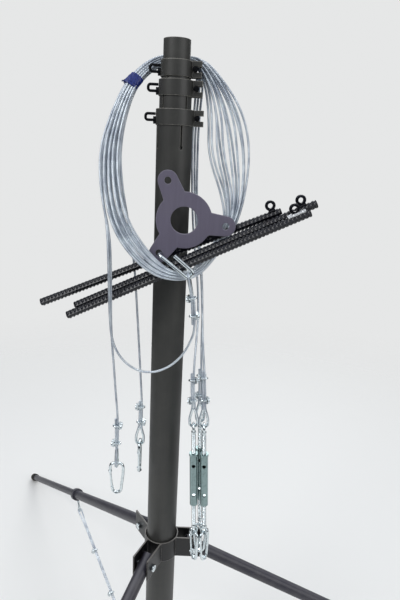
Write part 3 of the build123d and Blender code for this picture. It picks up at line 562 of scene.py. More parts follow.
# Stakes, stays, bolts and beads
def ribbed_bar(foot, way, above, length):
    """Reinforcing bar with two lengthwise ribs and slanting crescent ribs between them."""
    beside = way.cross(above)
    sides, step, pitch = 28, 0.0009, 0.0068
    count = int(length / step)
    points = []
    for ring in range(count + 1):
        s = length * ring / count
        trim = 0.85 if ring in (0, count) else 1.0
        for k in range(sides):
            angle = 2 * math.pi * k / sides
            half = 1 if math.sin(angle) >= 0 else -1
            slant = s / pitch + half * 0.5 * math.cos(angle) + (0.5 if half < 0 else 0)
            ridge = min(1.0, max(0.0, 0.35 + 1.5 * math.cos(2 * math.pi * slant))) * abs(math.sin(angle)) ** 0.5
            lengthwise = max(0.0, abs(math.cos(angle)) - 0.965) / 0.035
            radius = (0.0058 + 0.0012 * max(ridge, min(1.0, lengthwise))) * trim
            points.append(foot + way * s + above * radius * math.sin(angle) + beside * radius * math.cos(angle))
    return points, ring_faces(count + 1, sides) + end_faces(count + 1, sides)


def level_way(angle):
    """Level direction at an angle in radians from +X."""
    return Vector((math.cos(angle), math.sin(angle), 0))


def leg_axes(azimuth):
    """Pivot, way along the leg, the level way across it and the way under it."""
    out = level_way(math.radians(azimuth))
    way = out * math.cos(LEG_SLOPE) - UP * math.sin(LEG_SLOPE)
    across = UP.cross(out)
    under = way.cross(across)
    under = under if under.z < 0 else -under
    return out * PIVOT_OUT + UP * PIVOT_HEIGHT, way, across, under


def stay_line(azimuth):
    """Ends of a leg's stay: the middle of the clamp screw's eye and of the foot plate's lug hole."""
    pivot, way, across, under = leg_axes(azimuth)
    clamp_radius, gap, neck, eye_radius = 0.0175, 0.00005, 0.018, 0.009
    eye = pivot + way * STAY_CLAMP_OUT + under * (clamp_radius + gap + neck + eye_radius)
    return eye, level_way(math.radians(azimuth)) * LUG_OUT + UP * LUG_HEIGHT, across


def stay_route(azimuth):
    """Route points of a stay: doubled back through the clamp screw's eye and through the lug."""
    eye, lug, across = stay_line(azimuth)
    run = (lug - eye).normalized()
    whole = (lug - eye).length
    side = across * 0.0021
    def on(share, turns):
        return eye + run * whole * share + side * turns
    return [on(0.56, 1.05), on(0.4, 1.0), on(0.2, 1.0), on(0.09, 1.0), eye + run * 0.014 + across * 0.0046,
            eye + across * 0.0052, eye - run * 0.0008, eye - across * 0.0052, eye + run * 0.014 - across * 0.0046,
            on(0.09, -1.0), on(0.3, -1.0), on(0.6, -1.0), on(0.85, -1.0), lug - run * 0.03 - across * 0.0026,
            lug - run * 0.006 - across * 0.0048, lug + run * 0.0012 - across * 0.002,
            lug + run * 0.0012 + across * 0.002, lug - run * 0.006 + across * 0.0048,
            lug - run * 0.03 + across * 0.0026, on(0.87, 1.0), on(0.84, 1.05)]


def ear_bolt(outer, middle):
    """Swing bolt of a clamp: a bar head at the back, the shank in the notches and a nut at the front."""
    gap, wall, ear, notch, shank_radius, play = 0.05, 1.6, 15.0, 13.0, 3.0, 0.2
    x = outer / 2 + gap + wall + ear - notch + shank_radius + play
    head = block(at(x, 10.1, middle), ACROSS_X, ACROSS_Y, UP, (0.006, 0.004, 0.018), 0.0013)
    shank = threaded(at(x, 8.6, middle), -ACROSS_Y, 0.008, 0.0217, radius=0.003, pitch=0.001)
    nut = hex_nut(at(x, -8.1, middle), -ACROSS_Y, 0.0085, 0.0045, 0.0061, beside=UP)
    return join_parts([shank, nut, head])


def foot_cup(azimuth):
    """Rubber foot: a ribbed sleeve on the leg's end and a rounded sole."""
    pivot, way, _, _ = leg_axes(azimuth)
    distance = FOOT_DROP / math.sin(LEG_SLOPE)
    outline = [(-0.028, 0.0101), (-0.028, 0.0118), (-0.0268, 0.0127), (-0.0235, 0.0127), (-0.0228, 0.0119)]
    for k in range(4):
        start = -0.0215 + 0.0048 * k
        outline += [(start, 0.0119), (start + 0.0008, 0.0129), (start + 0.0026, 0.0129), (start + 0.0034, 0.0119)]
    outline += [(0.0129 * math.sin(a), 0.0129 * math.cos(a)) for a in np.radians((0, 12, 24, 36, 48, 60, 72, 83))]
    return turned(pivot + way * distance, way, outline, 32)


def at(x, y, z):
    """Point in metres from millimetres."""
    return Vector((x, y, z)) * MM


def tape_wrap():
    """Insulating tape wound three times round the coil: creased, its layers a little askew."""
    centre_a, out_a, through_a, wide_a, deep_a = coil_axes(16)
    centre_b, out_b, through_b, wide_b, deep_b = coil_axes(17)
    way = (centre_b - centre_a).normalized()
    squareness = 0.72                  # power of the bundle's rounded outline: 1 is an ellipse
    parts = []
    for layer, (shift, width, lift, tilt) in enumerate(((-0.0016, 0.018, 0.0, 0.05), (0.0018, 0.0175, 0.0004, -0.07))):
        rings, sides = 16, 64
        points = []
        for ring in range(rings + 1):
            s = (ring / rings - 0.5) * width
            for k in range(sides):
                a = 2 * math.pi * k / sides
                share = (0.0078 + s + shift) / (centre_b - centre_a).length + tilt * math.cos(a) * 0.3
                centre = centre_a.lerp(centre_b, share)
                outward, through = out_a.lerp(out_b, share).normalized(), through_a.lerp(through_b, share).normalized()
                wide = wide_a + (wide_b - wide_a) * share + 0.0004 + lift
                deep = deep_a + (deep_b - deep_a) * share + 0.0004 + lift
                crease = 0.00028 * math.sin(5 * a + 9 * s / width + layer) * math.sin(3 * a + 2.0) \
                    + 0.00022 * math.sin(11 * a + 4 * layer + 14 * s / width)
                c, z = math.cos(a), math.sin(a)
                x = math.copysign(abs(c) ** squareness, c) * (wide + crease)
                y = math.copysign(abs(z) ** squareness, z) * (deep + crease)
                if ring in (0, rings):
                    x, y = x - math.copysign(0.0005, c), y - math.copysign(0.0005, z)
                points.append(centre + outward * x + through * y)
        parts.append((points, ring_faces(rings + 1, sides) + end_faces(rings + 1, sides)))
    edge = centre_a + way * 0.0015 + out_a * (wide_a + 0.0008)
    curl = [edge + way * s * MM + out_a * c * MM for s, c in ((0, 0), (-2.0, 0.2), (-3.6, 1.0), (-4.2, 2.4))]
    section = [(-0.0026, -0.0002), (0.0026, -0.0002), (0.0026, 0.0002), (-0.0026, 0.0002)]
    parts.append(sweep(evenly(spline_line(curl), 0.0006), section, normal=through_a.cross(way)))
    return parts


# Finishes
def linear(code):
    """Linear colour from an sRGB hex value."""
    parts = [int(code[k:k + 2], 16) / 255 for k in (1, 3, 5)]
    return tuple(p / 12.92 if p <= 0.04045 else ((p + 0.055) / 1.055) ** 2.4 for p in parts) + (1.0,)


def add(tree, kind, settings=None, links=None):
    """Adds one shader node of a kind, with its settings and its links."""
    made = tree.nodes.new("ShaderNode" + kind)
    for key, value in (settings or {}).items():
        if isinstance(key, int) or key in made.inputs:
            made.inputs[key].default_value = value
        else:
            setattr(made, key, value)
    for key, source in (links or {}).items():
        tree.links.new(source, made.inputs[key])
    return made


def new_material(name, settings):
    """Material with one Principled shader, and its tree and shader."""
    material = bpy.data.materials.new(name)
    material.use_nodes = True
    shader = material.node_tree.nodes["Principled BSDF"]
    for key, value in settings.items():
        shader.inputs[key].default_value = value
    return material, material.node_tree, shader


def brushed_paint(name, colour, worn_and_highlight, dust, roughness, wear_and_highlight=1.0):
    """Alkyd enamel rolled on steel tube: satin, faintly uneven, dusty in patches, rubbed thin on sharp edges; the pale
    worn colour on edges and on what faces up is also a painted highlight.
    """
    material, tree, shader = new_material(name, {"IOR": 1.5, "Specular IOR Level": 0.5})
    place = add(tree, "TexCoord").outputs["Object"]
    # brush and roller marks run along the tube, about 3 mm apart and 60 mm long
    long = add(tree, "Mapping", {"Scale": (330, 330, 16)}, {"Vector": place})
    marks = add(tree, "TexNoise", {"Scale": 1.0, "Detail": 3.0}, {"Vector": long.outputs["Vector"]})
    # patches of handling dirt, about 40 mm across
    patches = add(tree, "TexNoise", {"Scale": 25.0, "Detail": 5.0, "Roughness": 0.6}, {"Vector": place})
    # orange peel of the dried enamel, about 1 mm
    peel = add(tree, "TexNoise", {"Scale": 900.0, "Detail": 1.0}, {"Vector": place})
    # edges within 2 mm of a corner are rubbed to the primer, more in some patches than in others; the pale primer there
    # is also a painted edge highlight
    soft_edge = add(tree, "Bevel", {"samples": 6, "Radius": 0.002})
    plain = add(tree, "NewGeometry")
    turn = add(tree, "VectorMath", {"operation": "DOT_PRODUCT"},
               {0: soft_edge.outputs["Normal"], 1: plain.outputs["Normal"]})
    edge = add(tree, "Math", {"operation": "SUBTRACT", 0: 1.0}, {1: turn.outputs["Value"]})
    uneven = add(tree, "MapRange", {"From Min": 0.25, "From Max": 0.5, "To Min": 0.35},
                 {"Value": patches.outputs["Fac"]})
    rubbed = add(tree, "Math", {"operation": "MULTIPLY"}, {0: edge.outputs["Value"], 1: uneven.outputs["Result"]})
    rubbed = add(tree, "MapRange", {"From Min": 0.03, "From Max": 0.12, "To Max": wear_and_highlight},
                 {"Value": rubbed.outputs["Value"]})
    dirt = add(tree, "MapRange", {"From Min": 0.42, "From Max": 0.78, "To Max": 0.55},
               {"Value": patches.outputs["Fac"]})
    tone = add(tree, "Mix", {"data_type": "RGBA", 6: linear(colour), 7: linear(dust)}, {0: dirt.outputs["Result"]})
    depth = add(tree, "MapRange", {"From Min": 0.2, "From Max": 0.8, "To Min": 0.72}, {"Value": marks.outputs["Fac"]})
    streak = add(tree, "Mix", {"data_type": "RGBA", "blend_type": "MULTIPLY", 0: 0.5},
                 {6: tone.outputs[2], 7: depth.outputs["Result"]})
    # what faces up takes the pale worn colour: rubbing, and a painted highlight from above
    height = add(tree, "SeparateXYZ", links={"Vector": plain.outputs["Normal"]}).outputs["Z"]
    top = add(tree, "MapRange", {"From Min": 0.8, "From Max": 0.97, "To Max": 0.75 * wear_and_highlight}, {"Value": height})
    worn_and_highlit = add(tree, "Math", {"operation": "MAXIMUM"}, {0: rubbed.outputs["Result"], 1: top.outputs["Result"]})
    final = add(tree, "Mix", {"data_type": "RGBA", 7: linear(worn_and_highlight)}, {0: worn_and_highlit.outputs["Value"], 6: streak.outputs[2]})
    tree.links.new(final.outputs[2], shader.inputs["Base Color"])
    rough = add(tree, "MapRange", {"To Min": roughness - 0.06, "To Max": roughness + 0.12},
                {"Value": patches.outputs["Fac"]})
    tree.links.new(rough.outputs["Result"], shader.inputs["Roughness"])
    heights = add(tree, "Math", {"operation": "ADD"}, {0: marks.outputs["Fac"], 1: peel.outputs["Fac"]})
    bump = add(tree, "Bump", {"Strength": 0.25, "Distance": 0.00012},
               {"Height": heights.outputs["Value"], "Normal": soft_edge.outputs["Normal"]})
    tree.links.new(bump.outputs["Normal"], shader.inputs["Normal"])
    return material


def zinc_plated(name, colour, shade, roughness):
    """Electroplated zinc on small forged and bent steel: bright, bluish, spotted where it has been handled."""
    material, tree, shader = new_material(name, {"Metallic": 1.0})
    place = add(tree, "TexCoord").outputs["Object"]
    # handling spots, about 4 mm, and grain of the plating, about 0.5 mm
    spots = add(tree, "TexNoise", {"Scale": 240.0, "Detail": 4.0, "Roughness": 0.65}, {"Vector": place})
    grain = add(tree, "TexNoise", {"Scale": 1900.0, "Detail": 1.0}, {"Vector": place})
    share = add(tree, "MapRange", {"From Min": 0.52, "From Max": 0.8}, {"Value": spots.outputs["Fac"]})
    tone = add(tree, "Mix", {"data_type": "RGBA", 6: linear(colour), 7: linear(shade)},
               {0: share.outputs["Result"]})
    tree.links.new(tone.outputs[2], shader.inputs["Base Color"])
    rough = add(tree, "MapRange", {"To Min": roughness - 0.08, "To Max": roughness + 0.14},
                {"Value": spots.outputs["Fac"]})
    tree.links.new(rough.outputs["Result"], shader.inputs["Roughness"])
    soft_edge = add(tree, "Bevel", {"samples": 4, "Radius": 0.0007})
    bump = add(tree, "Bump", {"Strength": 0.2, "Distance": 0.0001},
               {"Height": grain.outputs["Fac"], "Normal": soft_edge.outputs["Normal"]})
    tree.links.new(bump.outputs["Normal"], shader.inputs["Normal"])
    return material


def galvanised_rope(name, colour, shade):
    """Hot-dip galvanised wire strand: pale grey, each strand of fine wires, darker between them."""
    material, tree, shader = new_material(name, {"Metallic": 0.75, "Roughness": 0.42})
    along = add(tree, "UVMap", {"uv_map": "along_and_round"}).outputs["UV"]
    # the strand's own wires, about 0.4 mm each, lie along it
    wires = add(tree, "Mapping", {"Scale": (60, 42, 1)}, {"Vector": along})
    lines = add(tree, "TexWave", {"bands_direction": "Y", "Scale": 1.0, "Distortion": 1.2},
                {"Vector": wires.outputs["Vector"]})
    place = add(tree, "TexCoord").outputs["Object"]
    weather = add(tree, "TexNoise", {"Scale": 45.0, "Detail": 4.0}, {"Vector": place})
    share = add(tree, "MapRange", {"From Min": 0.4, "From Max": 0.7}, {"Value": weather.outputs["Fac"]})
    tone = add(tree, "Mix", {"data_type": "RGBA", 6: linear(colour), 7: linear(shade)},
               {0: share.outputs["Result"]})
    tree.links.new(tone.outputs[2], shader.inputs["Base Color"])
    bump = add(tree, "Bump", {"Strength": 0.5, "Distance": 0.00015}, {"Height": lines.outputs["Fac"]})
    tree.links.new(bump.outputs["Normal"], shader.inputs["Normal"])
    return material


def hot_rolled_bar(name, colour, scale_colour, rust):
    """Ribbed reinforcing bar dipped in tar paint: glossy, with mill scale and a little rust."""
    material, tree, shader = new_material(name, {"IOR": 1.5, "Specular IOR Level": 0.4})
    place = add(tree, "TexCoord").outputs["Object"]
    # mill scale in flakes, about 5 mm
    flakes = add(tree, "TexNoise", {"Scale": 190.0, "Detail": 6.0, "Roughness": 0.7}, {"Vector": place})
    stains = add(tree, "TexNoise", {"Scale": 38.0, "Detail": 3.0}, {"Vector": place})
    share = add(tree, "MapRange", {"From Min": 0.4, "From Max": 0.62}, {"Value": flakes.outputs["Fac"]})
    tone = add(tree, "Mix", {"data_type": "RGBA", 6: linear(colour), 7: linear(scale_colour)},
               {0: share.outputs["Result"]})
    stained = add(tree, "MapRange", {"From Min": 0.62, "From Max": 0.78, "To Max": 0.5},
                  {"Value": stains.outputs["Fac"]})
    rusty = add(tree, "Mix", {"data_type": "RGBA", 7: linear(rust)},
                {0: stained.outputs["Result"], 6: tone.outputs[2]})
    tree.links.new(rusty.outputs[2], shader.inputs["Base Color"])
    rough = add(tree, "MapRange", {"To Min": 0.14, "To Max": 0.36}, {"Value": flakes.outputs["Fac"]})
    tree.links.new(rough.outputs["Result"], shader.inputs["Roughness"])
    bump = add(tree, "Bump", {"Strength": 0.5, "Distance": 0.0003}, {"Height": flakes.outputs["Fac"]})
    tree.links.new(bump.outputs["Normal"], shader.inputs["Normal"])
    return material


def vinyl_tape(name, colour, shade):
    """Soft PVC insulating tape wound by hand: satin, stretched and creased across its width, with painted shade along
    the creases.
    """
    material, tree, shader = new_material(name, {"IOR": 1.53, "Roughness": 0.38})
    place = add(tree, "TexCoord").outputs["Object"]
    # creases about 2 mm apart; the darker colour that follows them is painted shade
    creases_and_shade = add(tree, "TexNoise", {"Scale": 480.0, "Detail": 3.0, "Distortion": 0.6}, {"Vector": place})
    share = add(tree, "MapRange", {"From Min": 0.35, "From Max": 0.7}, {"Value": creases_and_shade.outputs["Fac"]})
    tone = add(tree, "Mix", {"data_type": "RGBA", 6: linear(colour), 7: linear(shade)},
               {0: share.outputs["Result"]})
    tree.links.new(tone.outputs[2], shader.inputs["Base Color"])
    bump = add(tree, "Bump", {"Strength": 0.6, "Distance": 0.0004}, {"Height": creases_and_shade.outputs["Fac"]})
    tree.links.new(bump.outputs["Normal"], shader.inputs["Normal"])
    return material


def moulded_rubber(name, colour, dust):
    """Compression moulded rubber foot: matt black, with dry soil rubbed into its lower half."""
    material, tree, shader = new_material(name, {"IOR": 1.52, "Roughness": 0.8})
    place = add(tree, "TexCoord").outputs["Object"]
    # soil grains and smears, about 6 mm
    soil = add(tree, "TexNoise", {"Scale": 160.0, "Detail": 5.0}, {"Vector": place})
    height = add(tree, "SeparateXYZ", links={"Vector": place}).outputs["Z"]
    low = add(tree, "MapRange", {"From Min": 0.0, "From Max": 0.03, "To Min": 0.8, "To Max": 0.1}, {"Value": height})
    patchy = add(tree, "MapRange", {"From Min": 0.4, "From Max": 0.65}, {"Value": soil.outputs["Fac"]})
    mask = add(tree, "Math", {"operation": "MULTIPLY"},
               {0: low.outputs["Result"], 1: patchy.outputs["Result"]})
    tone = add(tree, "Mix", {"data_type": "RGBA", 6: linear(colour), 7: linear(dust)}, {0: mask.outputs["Value"]})
    tree.links.new(tone.outputs[2], shader.inputs["Base Color"])
    bump = add(tree, "Bump", {"Strength": 0.3, "Distance": 0.0003}, {"Height": soil.outputs["Fac"]})
    tree.links.new(bump.outputs["Normal"], shader.inputs["Normal"])
    return material


FINISHES = {}


# What a user would change
class MastFinishSettings(bpy.types.PropertyGroup):
    mast_colour: bpy.props.StringProperty(name="Mast enamel", description="sRGB hex of the tubes' enamel",
                                          default="#3b3b39")
    leg_colour: bpy.props.StringProperty(name="Leg enamel", description="sRGB hex of the legs' enamel",
                                         default="#36353e")
    collar_colour: bpy.props.StringProperty(name="Collar enamel", description="sRGB hex of the leg collar's enamel",
                                            default="#0f0f10")
    plate_colour: bpy.props.StringProperty(name="Plate enamel", description="sRGB hex of the guy plate's enamel",
                                           default="#6b6678")
    tape_colour: bpy.props.StringProperty(name="Tape", description="sRGB hex of the coil's tape", default="#112d84")
    zinc_colour: bpy.props.StringProperty(name="Zinc", description="sRGB hex of the plated fittings", default="#e0e8eb")


class MastRopeSettings(bpy.types.PropertyGroup):
    rope_size: bpy.props.FloatProperty(name="Wire rope", description="Diameter of the guys' wire rope",
                                       default=ROPE_SIZE,
                                       min=0.002, max=0.008, unit="LENGTH")
    lay_length: bpy.props.FloatProperty(name="Lay length", description="Length in which a strand goes once round",
                                        default=0.027, min=0.01, max=0.06, unit="LENGTH")


class MastStageSettings(bpy.types.PropertyGroup):
    eye_place: bpy.props.FloatVectorProperty(name="Camera place", description="Camera in the row frame",
                                             default=(0.0566, -0.8909, 1.285), subtype="XYZ", unit="LENGTH")
    eye_pitch: bpy.props.FloatProperty(name="Camera pitch", description="Below level",
                                       default=math.radians(16.35), subtype="ANGLE")
    eye_roll: bpy.props.FloatProperty(name="Camera roll", description="About its own line of sight",
                                      default=math.radians(2.88), subtype="ANGLE")
    floor_colour: bpy.props.StringProperty(name="Floor", description="sRGB hex of the studio floor", default="#e8e8e6")


def shade_nodes(names, material):
    for name in names:
        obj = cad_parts[name]
        obj.data.materials.clear()
        obj.data.materials.append(material)


class MAST_OT_finishes(bpy.types.Operator):
    """Makes the finishes and gives them to the tubes, clamps, legs and plates"""
    bl_idname = "mast.finishes"
    bl_label = "Finishes"

    def execute(self, context):
        s = context.scene.mast_finish
        # each enamel's second colour is its worn primer, which also serves as a painted highlight on edges and on what
        # faces up
        FINISHES["mast"] = brushed_paint("olive_grey_enamel", s.mast_colour, "#8b8881", "#4b4b47", 0.42, wear_and_highlight=0.7)
        FINISHES["band"] = brushed_paint("olive_grey_enamel_on_bands", s.mast_colour, "#9d9a92", "#4b4b47", 0.4)
        FINISHES["leg"] = brushed_paint("grey_enamel_on_legs", s.leg_colour, "#8f8e93", "#5e5c5e", 0.38, wear_and_highlight=0.4)
        FINISHES["collar"] = brushed_paint("black_enamel_on_collar", s.collar_colour, "#a29e99", "#1c1b1c", 0.34,
                                           wear_and_highlight=0.55)
        FINISHES["plate"] = brushed_paint("grey_enamel_on_cut_plate", s.plate_colour, "#9a97a4", "#6b6775", 0.5,
                                          wear_and_highlight=0.6)
        FINISHES["zinc"] = zinc_plated("bright_zinc_plating", s.zinc_colour, "#93a3a8", 0.17)
        # the pipe bodies take a darker copy of the zinc: painted shade for the dark surroundings that they reflect
        FINISHES["pipe"] = zinc_plated("zinc_on_pipe_with_painted_shade", "#8fa2a2", "#566a70", 0.2)
        FINISHES["blackened"] = zinc_plated("blackened_steel_bolts", "#232427", "#141517", 0.4)
        FINISHES["weld"] = zinc_plated("bare_weld_metal", "#d9dbdd", "#9a9ca0", 0.34)
        FINISHES["rope"] = galvanised_rope("galvanised_wire_rope", "#dde5ec", "#aab3c0")
        FINISHES["bar"] = hot_rolled_bar("tar_painted_ribbed_bar", "#0a0a0f", "#171923", "#2e211b")
        FINISHES["tape"] = vinyl_tape("blue_pvc_tape", s.tape_colour, "#0b1b5a")
        FINISHES["rubber"] = moulded_rubber("moulded_rubber_feet", "#1b1b1c", "#6e6250")
        shade_nodes([f"section_{k}" for k in (1, 2, 3, 4)] + ["foot_plate"], FINISHES["mast"])
        shade_nodes([f"clamp_{k}_band" for k in (1, 2, 3)], FINISHES["band"])
        shade_nodes([f"clamp_{k}_{n}" for k in (1, 2, 3) for n in ("swing_bolt", "eye_screw")], FINISHES["blackened"])
        legs = [f"leg_{k}_{n}" for k in (1, 2, 3) for n in ("outer_tube", "inner_tube", "clamp")]
        shade_nodes(legs, FINISHES["leg"])
        shade_nodes(["leg_collar"], FINISHES["collar"])
        shade_nodes(["guy_plate"], FINISHES["plate"])
        screws = [f"leg_{k}_clamp_screw" for k in (1, 2, 3)]
        shade_nodes(screws + ["collar_set_bolt", "leg_pivot_bolts", "plate_hook", "turnbuckle_screws",
                              "carabiners", "thimbles", "rope_clips"], FINISHES["zinc"])
        shade_nodes(["turnbuckle_bodies"], FINISHES["pipe"])
        shade_nodes([f"leg_{k}_foot" for k in (1, 2, 3)], FINISHES["rubber"])
        shade_nodes([f"stake_{k}" for k in (1, 2, 3)], FINISHES["bar"])
        shade_nodes(["coil_tape"], FINISHES["tape"])
        return {"FINISHED"}


def fitted(name, shape, body, slot, finish, *nodes):
    """Piece that rides on a body, with its finish and the CAD nodes that it stands for."""
    piece = mesh_piece(name, *shape, FINISHES[finish])
    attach(piece, body)
    if nodes:
        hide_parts(*nodes)
    return piece


class MAST_OT_guys(bpy.types.Operator):
    """Lays the three guys: from the turnbuckles up behind the mast, round the coil and down to their upper ends"""
    bl_idname = "mast.guys"
    bl_label = "Guys"

    def execute(self, context):
        s = context.scene.mast_rope
        for rope in range(3):
            for key in (f"lower_{rope + 1}", f"upper_{rope + 1}"):
                fitted(f"thimble_{key}", thimble(key), "third_section", "zinc", "zinc", "thimbles")
                for number, (middle, way, across, through) in enumerate(clip_frames(ROPE_ENDS[key][0]), start=1):
                    across = across if (number + rope) % 2 else -across
                    shape = rope_clip(middle, way, across, through)
                    fitted(f"clip_{key}_{number}", shape, "third_section", "zinc", "zinc", "rope_clips")
            points, faces, uv, path = stranded(spline_line(guy_route(rope)), s.rope_size, s.lay_length)
            guy = mesh_piece(f"guy_{rope + 1}", points, faces, FINISHES["rope"], uv=uv)
            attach(guy, "third_section")
            nodes = [f"rope_{rope + 1}_upper_tail", f"rope_{rope + 1}_lower_tail"] + (["guy_coil"] if rope == 0 else [])
            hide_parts(*nodes)
            length = float(np.linalg.norm(np.diff(path, axis=0), axis=1).sum())
            print("guy", rope + 1, "length", round(length, 3))
        return {"FINISHED"}


class MAST_OT_tape(bpy.types.Operator):
    """Winds the tape round the coil"""
    bl_idname = "mast.tape"
    bl_label = "Tape"

    def execute(self, context):
        for number, shape in enumerate(tape_wrap(), start=1):
            fitted(f"tape_turn_{number}", shape, "third_section", "blue_tape", "tape", "coil_tape")
        return {"FINISHED"}


class MAST_OT_turnbuckles(bpy.types.Operator):
    """Makes the turnbuckles and the carabiners"""
    bl_idname = "mast.turnbuckles"
    bl_label = "Turnbuckles"

    def execute(self, context):
        for number in (1, 2, 3):
            key = f"lower_{number}"
            eye_top, low_neck, way = chain_places(key)
            turn = link_turn(key, way)
            upper = eye_screw_shape(eye_top + way * 0.015, way, ACROSS_X, 0.066)
            lower = eye_screw_shape(low_neck, -way, turn, 0.074)
            fitted(f"turnbuckle_screw_{number}_upper", upper, "third_section", "zinc", "zinc", "turnbuckle_screws")
            fitted(f"turnbuckle_screw_{number}_lower", lower, "third_section", "zinc", "zinc", "turnbuckle_screws")
            hook = snap_hook(low_neck + way * 0.0092, way, turn)
            fitted(f"snap_hook_{key}", hook, "third_section", "zinc", "zinc", "carabiners")
        for key, across in (("upper_1", ACROSS_X), ("upper_2", ACROSS_Y)):
            top = Vector(ROPE_ENDS[key][0][-1]) + DOWN * (2.8 + 26.2) * MM
            fitted(f"snap_hook_{key}", snap_hook(top, DOWN, across), "third_section", "zinc", "zinc", "carabiners")
        return {"FINISHED"}


class MAST_OT_stakes(bpy.types.Operator):
    """Makes the ground stakes of ribbed bar, with their welded nuts"""
    bl_idname = "mast.stakes"
    bl_label = "Stakes"

    def execute(self, context):
        for number, (foot, slope, ring_place) in enumerate(STAKES, start=1):
            angle = math.radians(slope)
            way = Vector((math.cos(angle), 0, math.sin(angle)))
            above = Vector((-math.sin(angle), 0, math.cos(angle)))
            bar = ribbed_bar(Vector(foot), way, above, STAKE_LENGTH)
            middle = Vector(foot) + way * (STAKE_LENGTH - ring_place) + above * 0.0156
            ring = turned(middle + ACROSS_Y * 0.0035, -ACROSS_Y, STAKE_NUT, 28, capped=False)
            fitted(f"ground_stake_{number}", join_parts([bar, ring]), "third_section", "black_bar", "bar",
                   f"stake_{number}")
            seam = middle - above * 0.009
            reach, thick, look = (0.015, 0.0028, "weld") if number == 3 else (0.0055, 0.0018, "bar")
            beads = []
            for side in (1, -1):
                off = ACROSS_Y * 0.0036 * side
                beads.append(weld_bead([seam - way * reach + off, seam + way * reach + off], thick, seed=number))
            fitted(f"stake_weld_{number}", join_parts(beads), "third_section", "black_bar", look)
        return {"FINISHED"}


class MAST_OT_clamps(bpy.types.Operator):
    """Makes the clamps' bolts and nuts and the weld beads at their ears"""
    bl_idname = "mast.clamps"
    bl_label = "Clamp bolts"

    def execute(self, context):
        for number, (outer, top, body) in enumerate(CLAMPS, start=1):
            fitted(f"clamp_bolt_{number}", ear_bolt(outer, top - 12.5), body, "dark_steel", "blackened",
                   f"clamp_{number}_swing_bolt")
            x = outer / 2 + 1.65
            beads = [weld_bead([at(x, y, top - 24.0), at(x, y, top - 1.0)], 0.0011, seed=number) for y in (8.0, -8.0)]
            fitted(f"clamp_weld_{number}", join_parts(beads), body, "mast_paint", "mast")
        return {"FINISHED"}


class MAST_OT_legs(bpy.types.Operator):
    """Makes the legs' stays, feet and pivot bolts, and the collar's weld beads and set bolt"""
    bl_idname = "mast.legs"
    bl_label = "Legs"

    def execute(self, context):
        s = context.scene.mast_rope
        beads = []
        for number, azimuth in enumerate(LEG_AZIMUTHS, start=1):
            pivot, way, across, under = leg_axes(azimuth)
            points, faces, uv, _ = stranded(spline_line(stay_route(azimuth)), s.rope_size, s.lay_length)
            stay = mesh_piece(f"leg_stay_{number}", points, faces, FINISHES["rope"], uv=uv)
            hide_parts(f"leg_{number}_stay")
            eye, lug, level = stay_line(azimuth)
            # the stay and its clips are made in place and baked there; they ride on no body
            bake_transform(stay)
            run = (lug - eye).normalized()
            clips = [rope_clip(eye.lerp(lug, share), run, level, run.cross(level)) for share in (0.27, 0.52, 0.87)]
            clips = mesh_piece(f"leg_stay_clips_{number}", *join_parts(clips), FINISHES["zinc"])
            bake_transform(clips)
            fitted(f"leg_foot_cup_{number}", foot_cup(azimuth), f"leg_{number}_extension", "foot_rubber", "rubber",
                   f"leg_{number}_foot")
            outer = 0.0171             # from the leg's middle to the outer side of its clevis
            outline = [(0.0, 0.0035), (0.001, 0.004), (2 * outer + 0.0096, 0.004), (2 * outer + 0.0106, 0.0034)]
            bolt = turned(pivot - across * (outer + 0.0053), across, outline, 20)
            head = hex_nut(pivot + across * outer, across, 0.013, 0.005, 0.0078, beside=UP)
            nut = hex_nut(pivot - across * outer, -across, 0.013, 0.005, 0.0078, beside=way)
            fitted(f"leg_pivot_bolt_{number}", join_parts([bolt, head, nut]), "base", "zinc", "zinc", "leg_pivot_bolts")
            out = level_way(math.radians(azimuth))
            level = UP.cross(out)
            for side in (1, -1):
                for c in CLEVIS_EDGES:
                    r = math.sqrt(COLLAR_RADIUS**2 - c**2) + 0.2
                    edge = out * r * MM + level * c * side * MM
                    beads.append(weld_bead([edge + UP * end for end in CLEVIS_ENDS], 0.0012, seed=number))
            foot = out * LUG_OUT
            for side in (1, -1):
                line = [foot + out * reach + level * 0.0024 * side + UP * 0.0064 for reach in (-0.007, 0.007)]
                beads.append(weld_bead(line, 0.0012, seed=number + 5))
        fitted("collar_and_lug_welds", join_parts(beads), "base", "dark_steel", "collar")
        seam = [Vector((0.0305 * math.cos(a), 0.0305 * math.sin(a), 0.0068)) for a in np.radians(np.arange(0, 360, 6))]
        fitted("foot_plate_weld", weld_bead(seam, 0.0018, closed=True, seed=9), "base", "mast_paint", "mast")
        set_way = level_way(SET_BOLT_AZIMUTH)
        tip, nut = [set_way * off + UP * SET_BOLT_HEIGHT for off in (0.03005, 0.0353)]
        set_bolt = [threaded(tip, set_way, 0.0012, 0.026), hex_nut(nut, set_way, 0.014, 0.007, 0.0078, beside=UP)]
        fitted("collar_bolt", join_parts(set_bolt), "base", "zinc", "zinc", "collar_set_bolt")
        return {"FINISHED"}


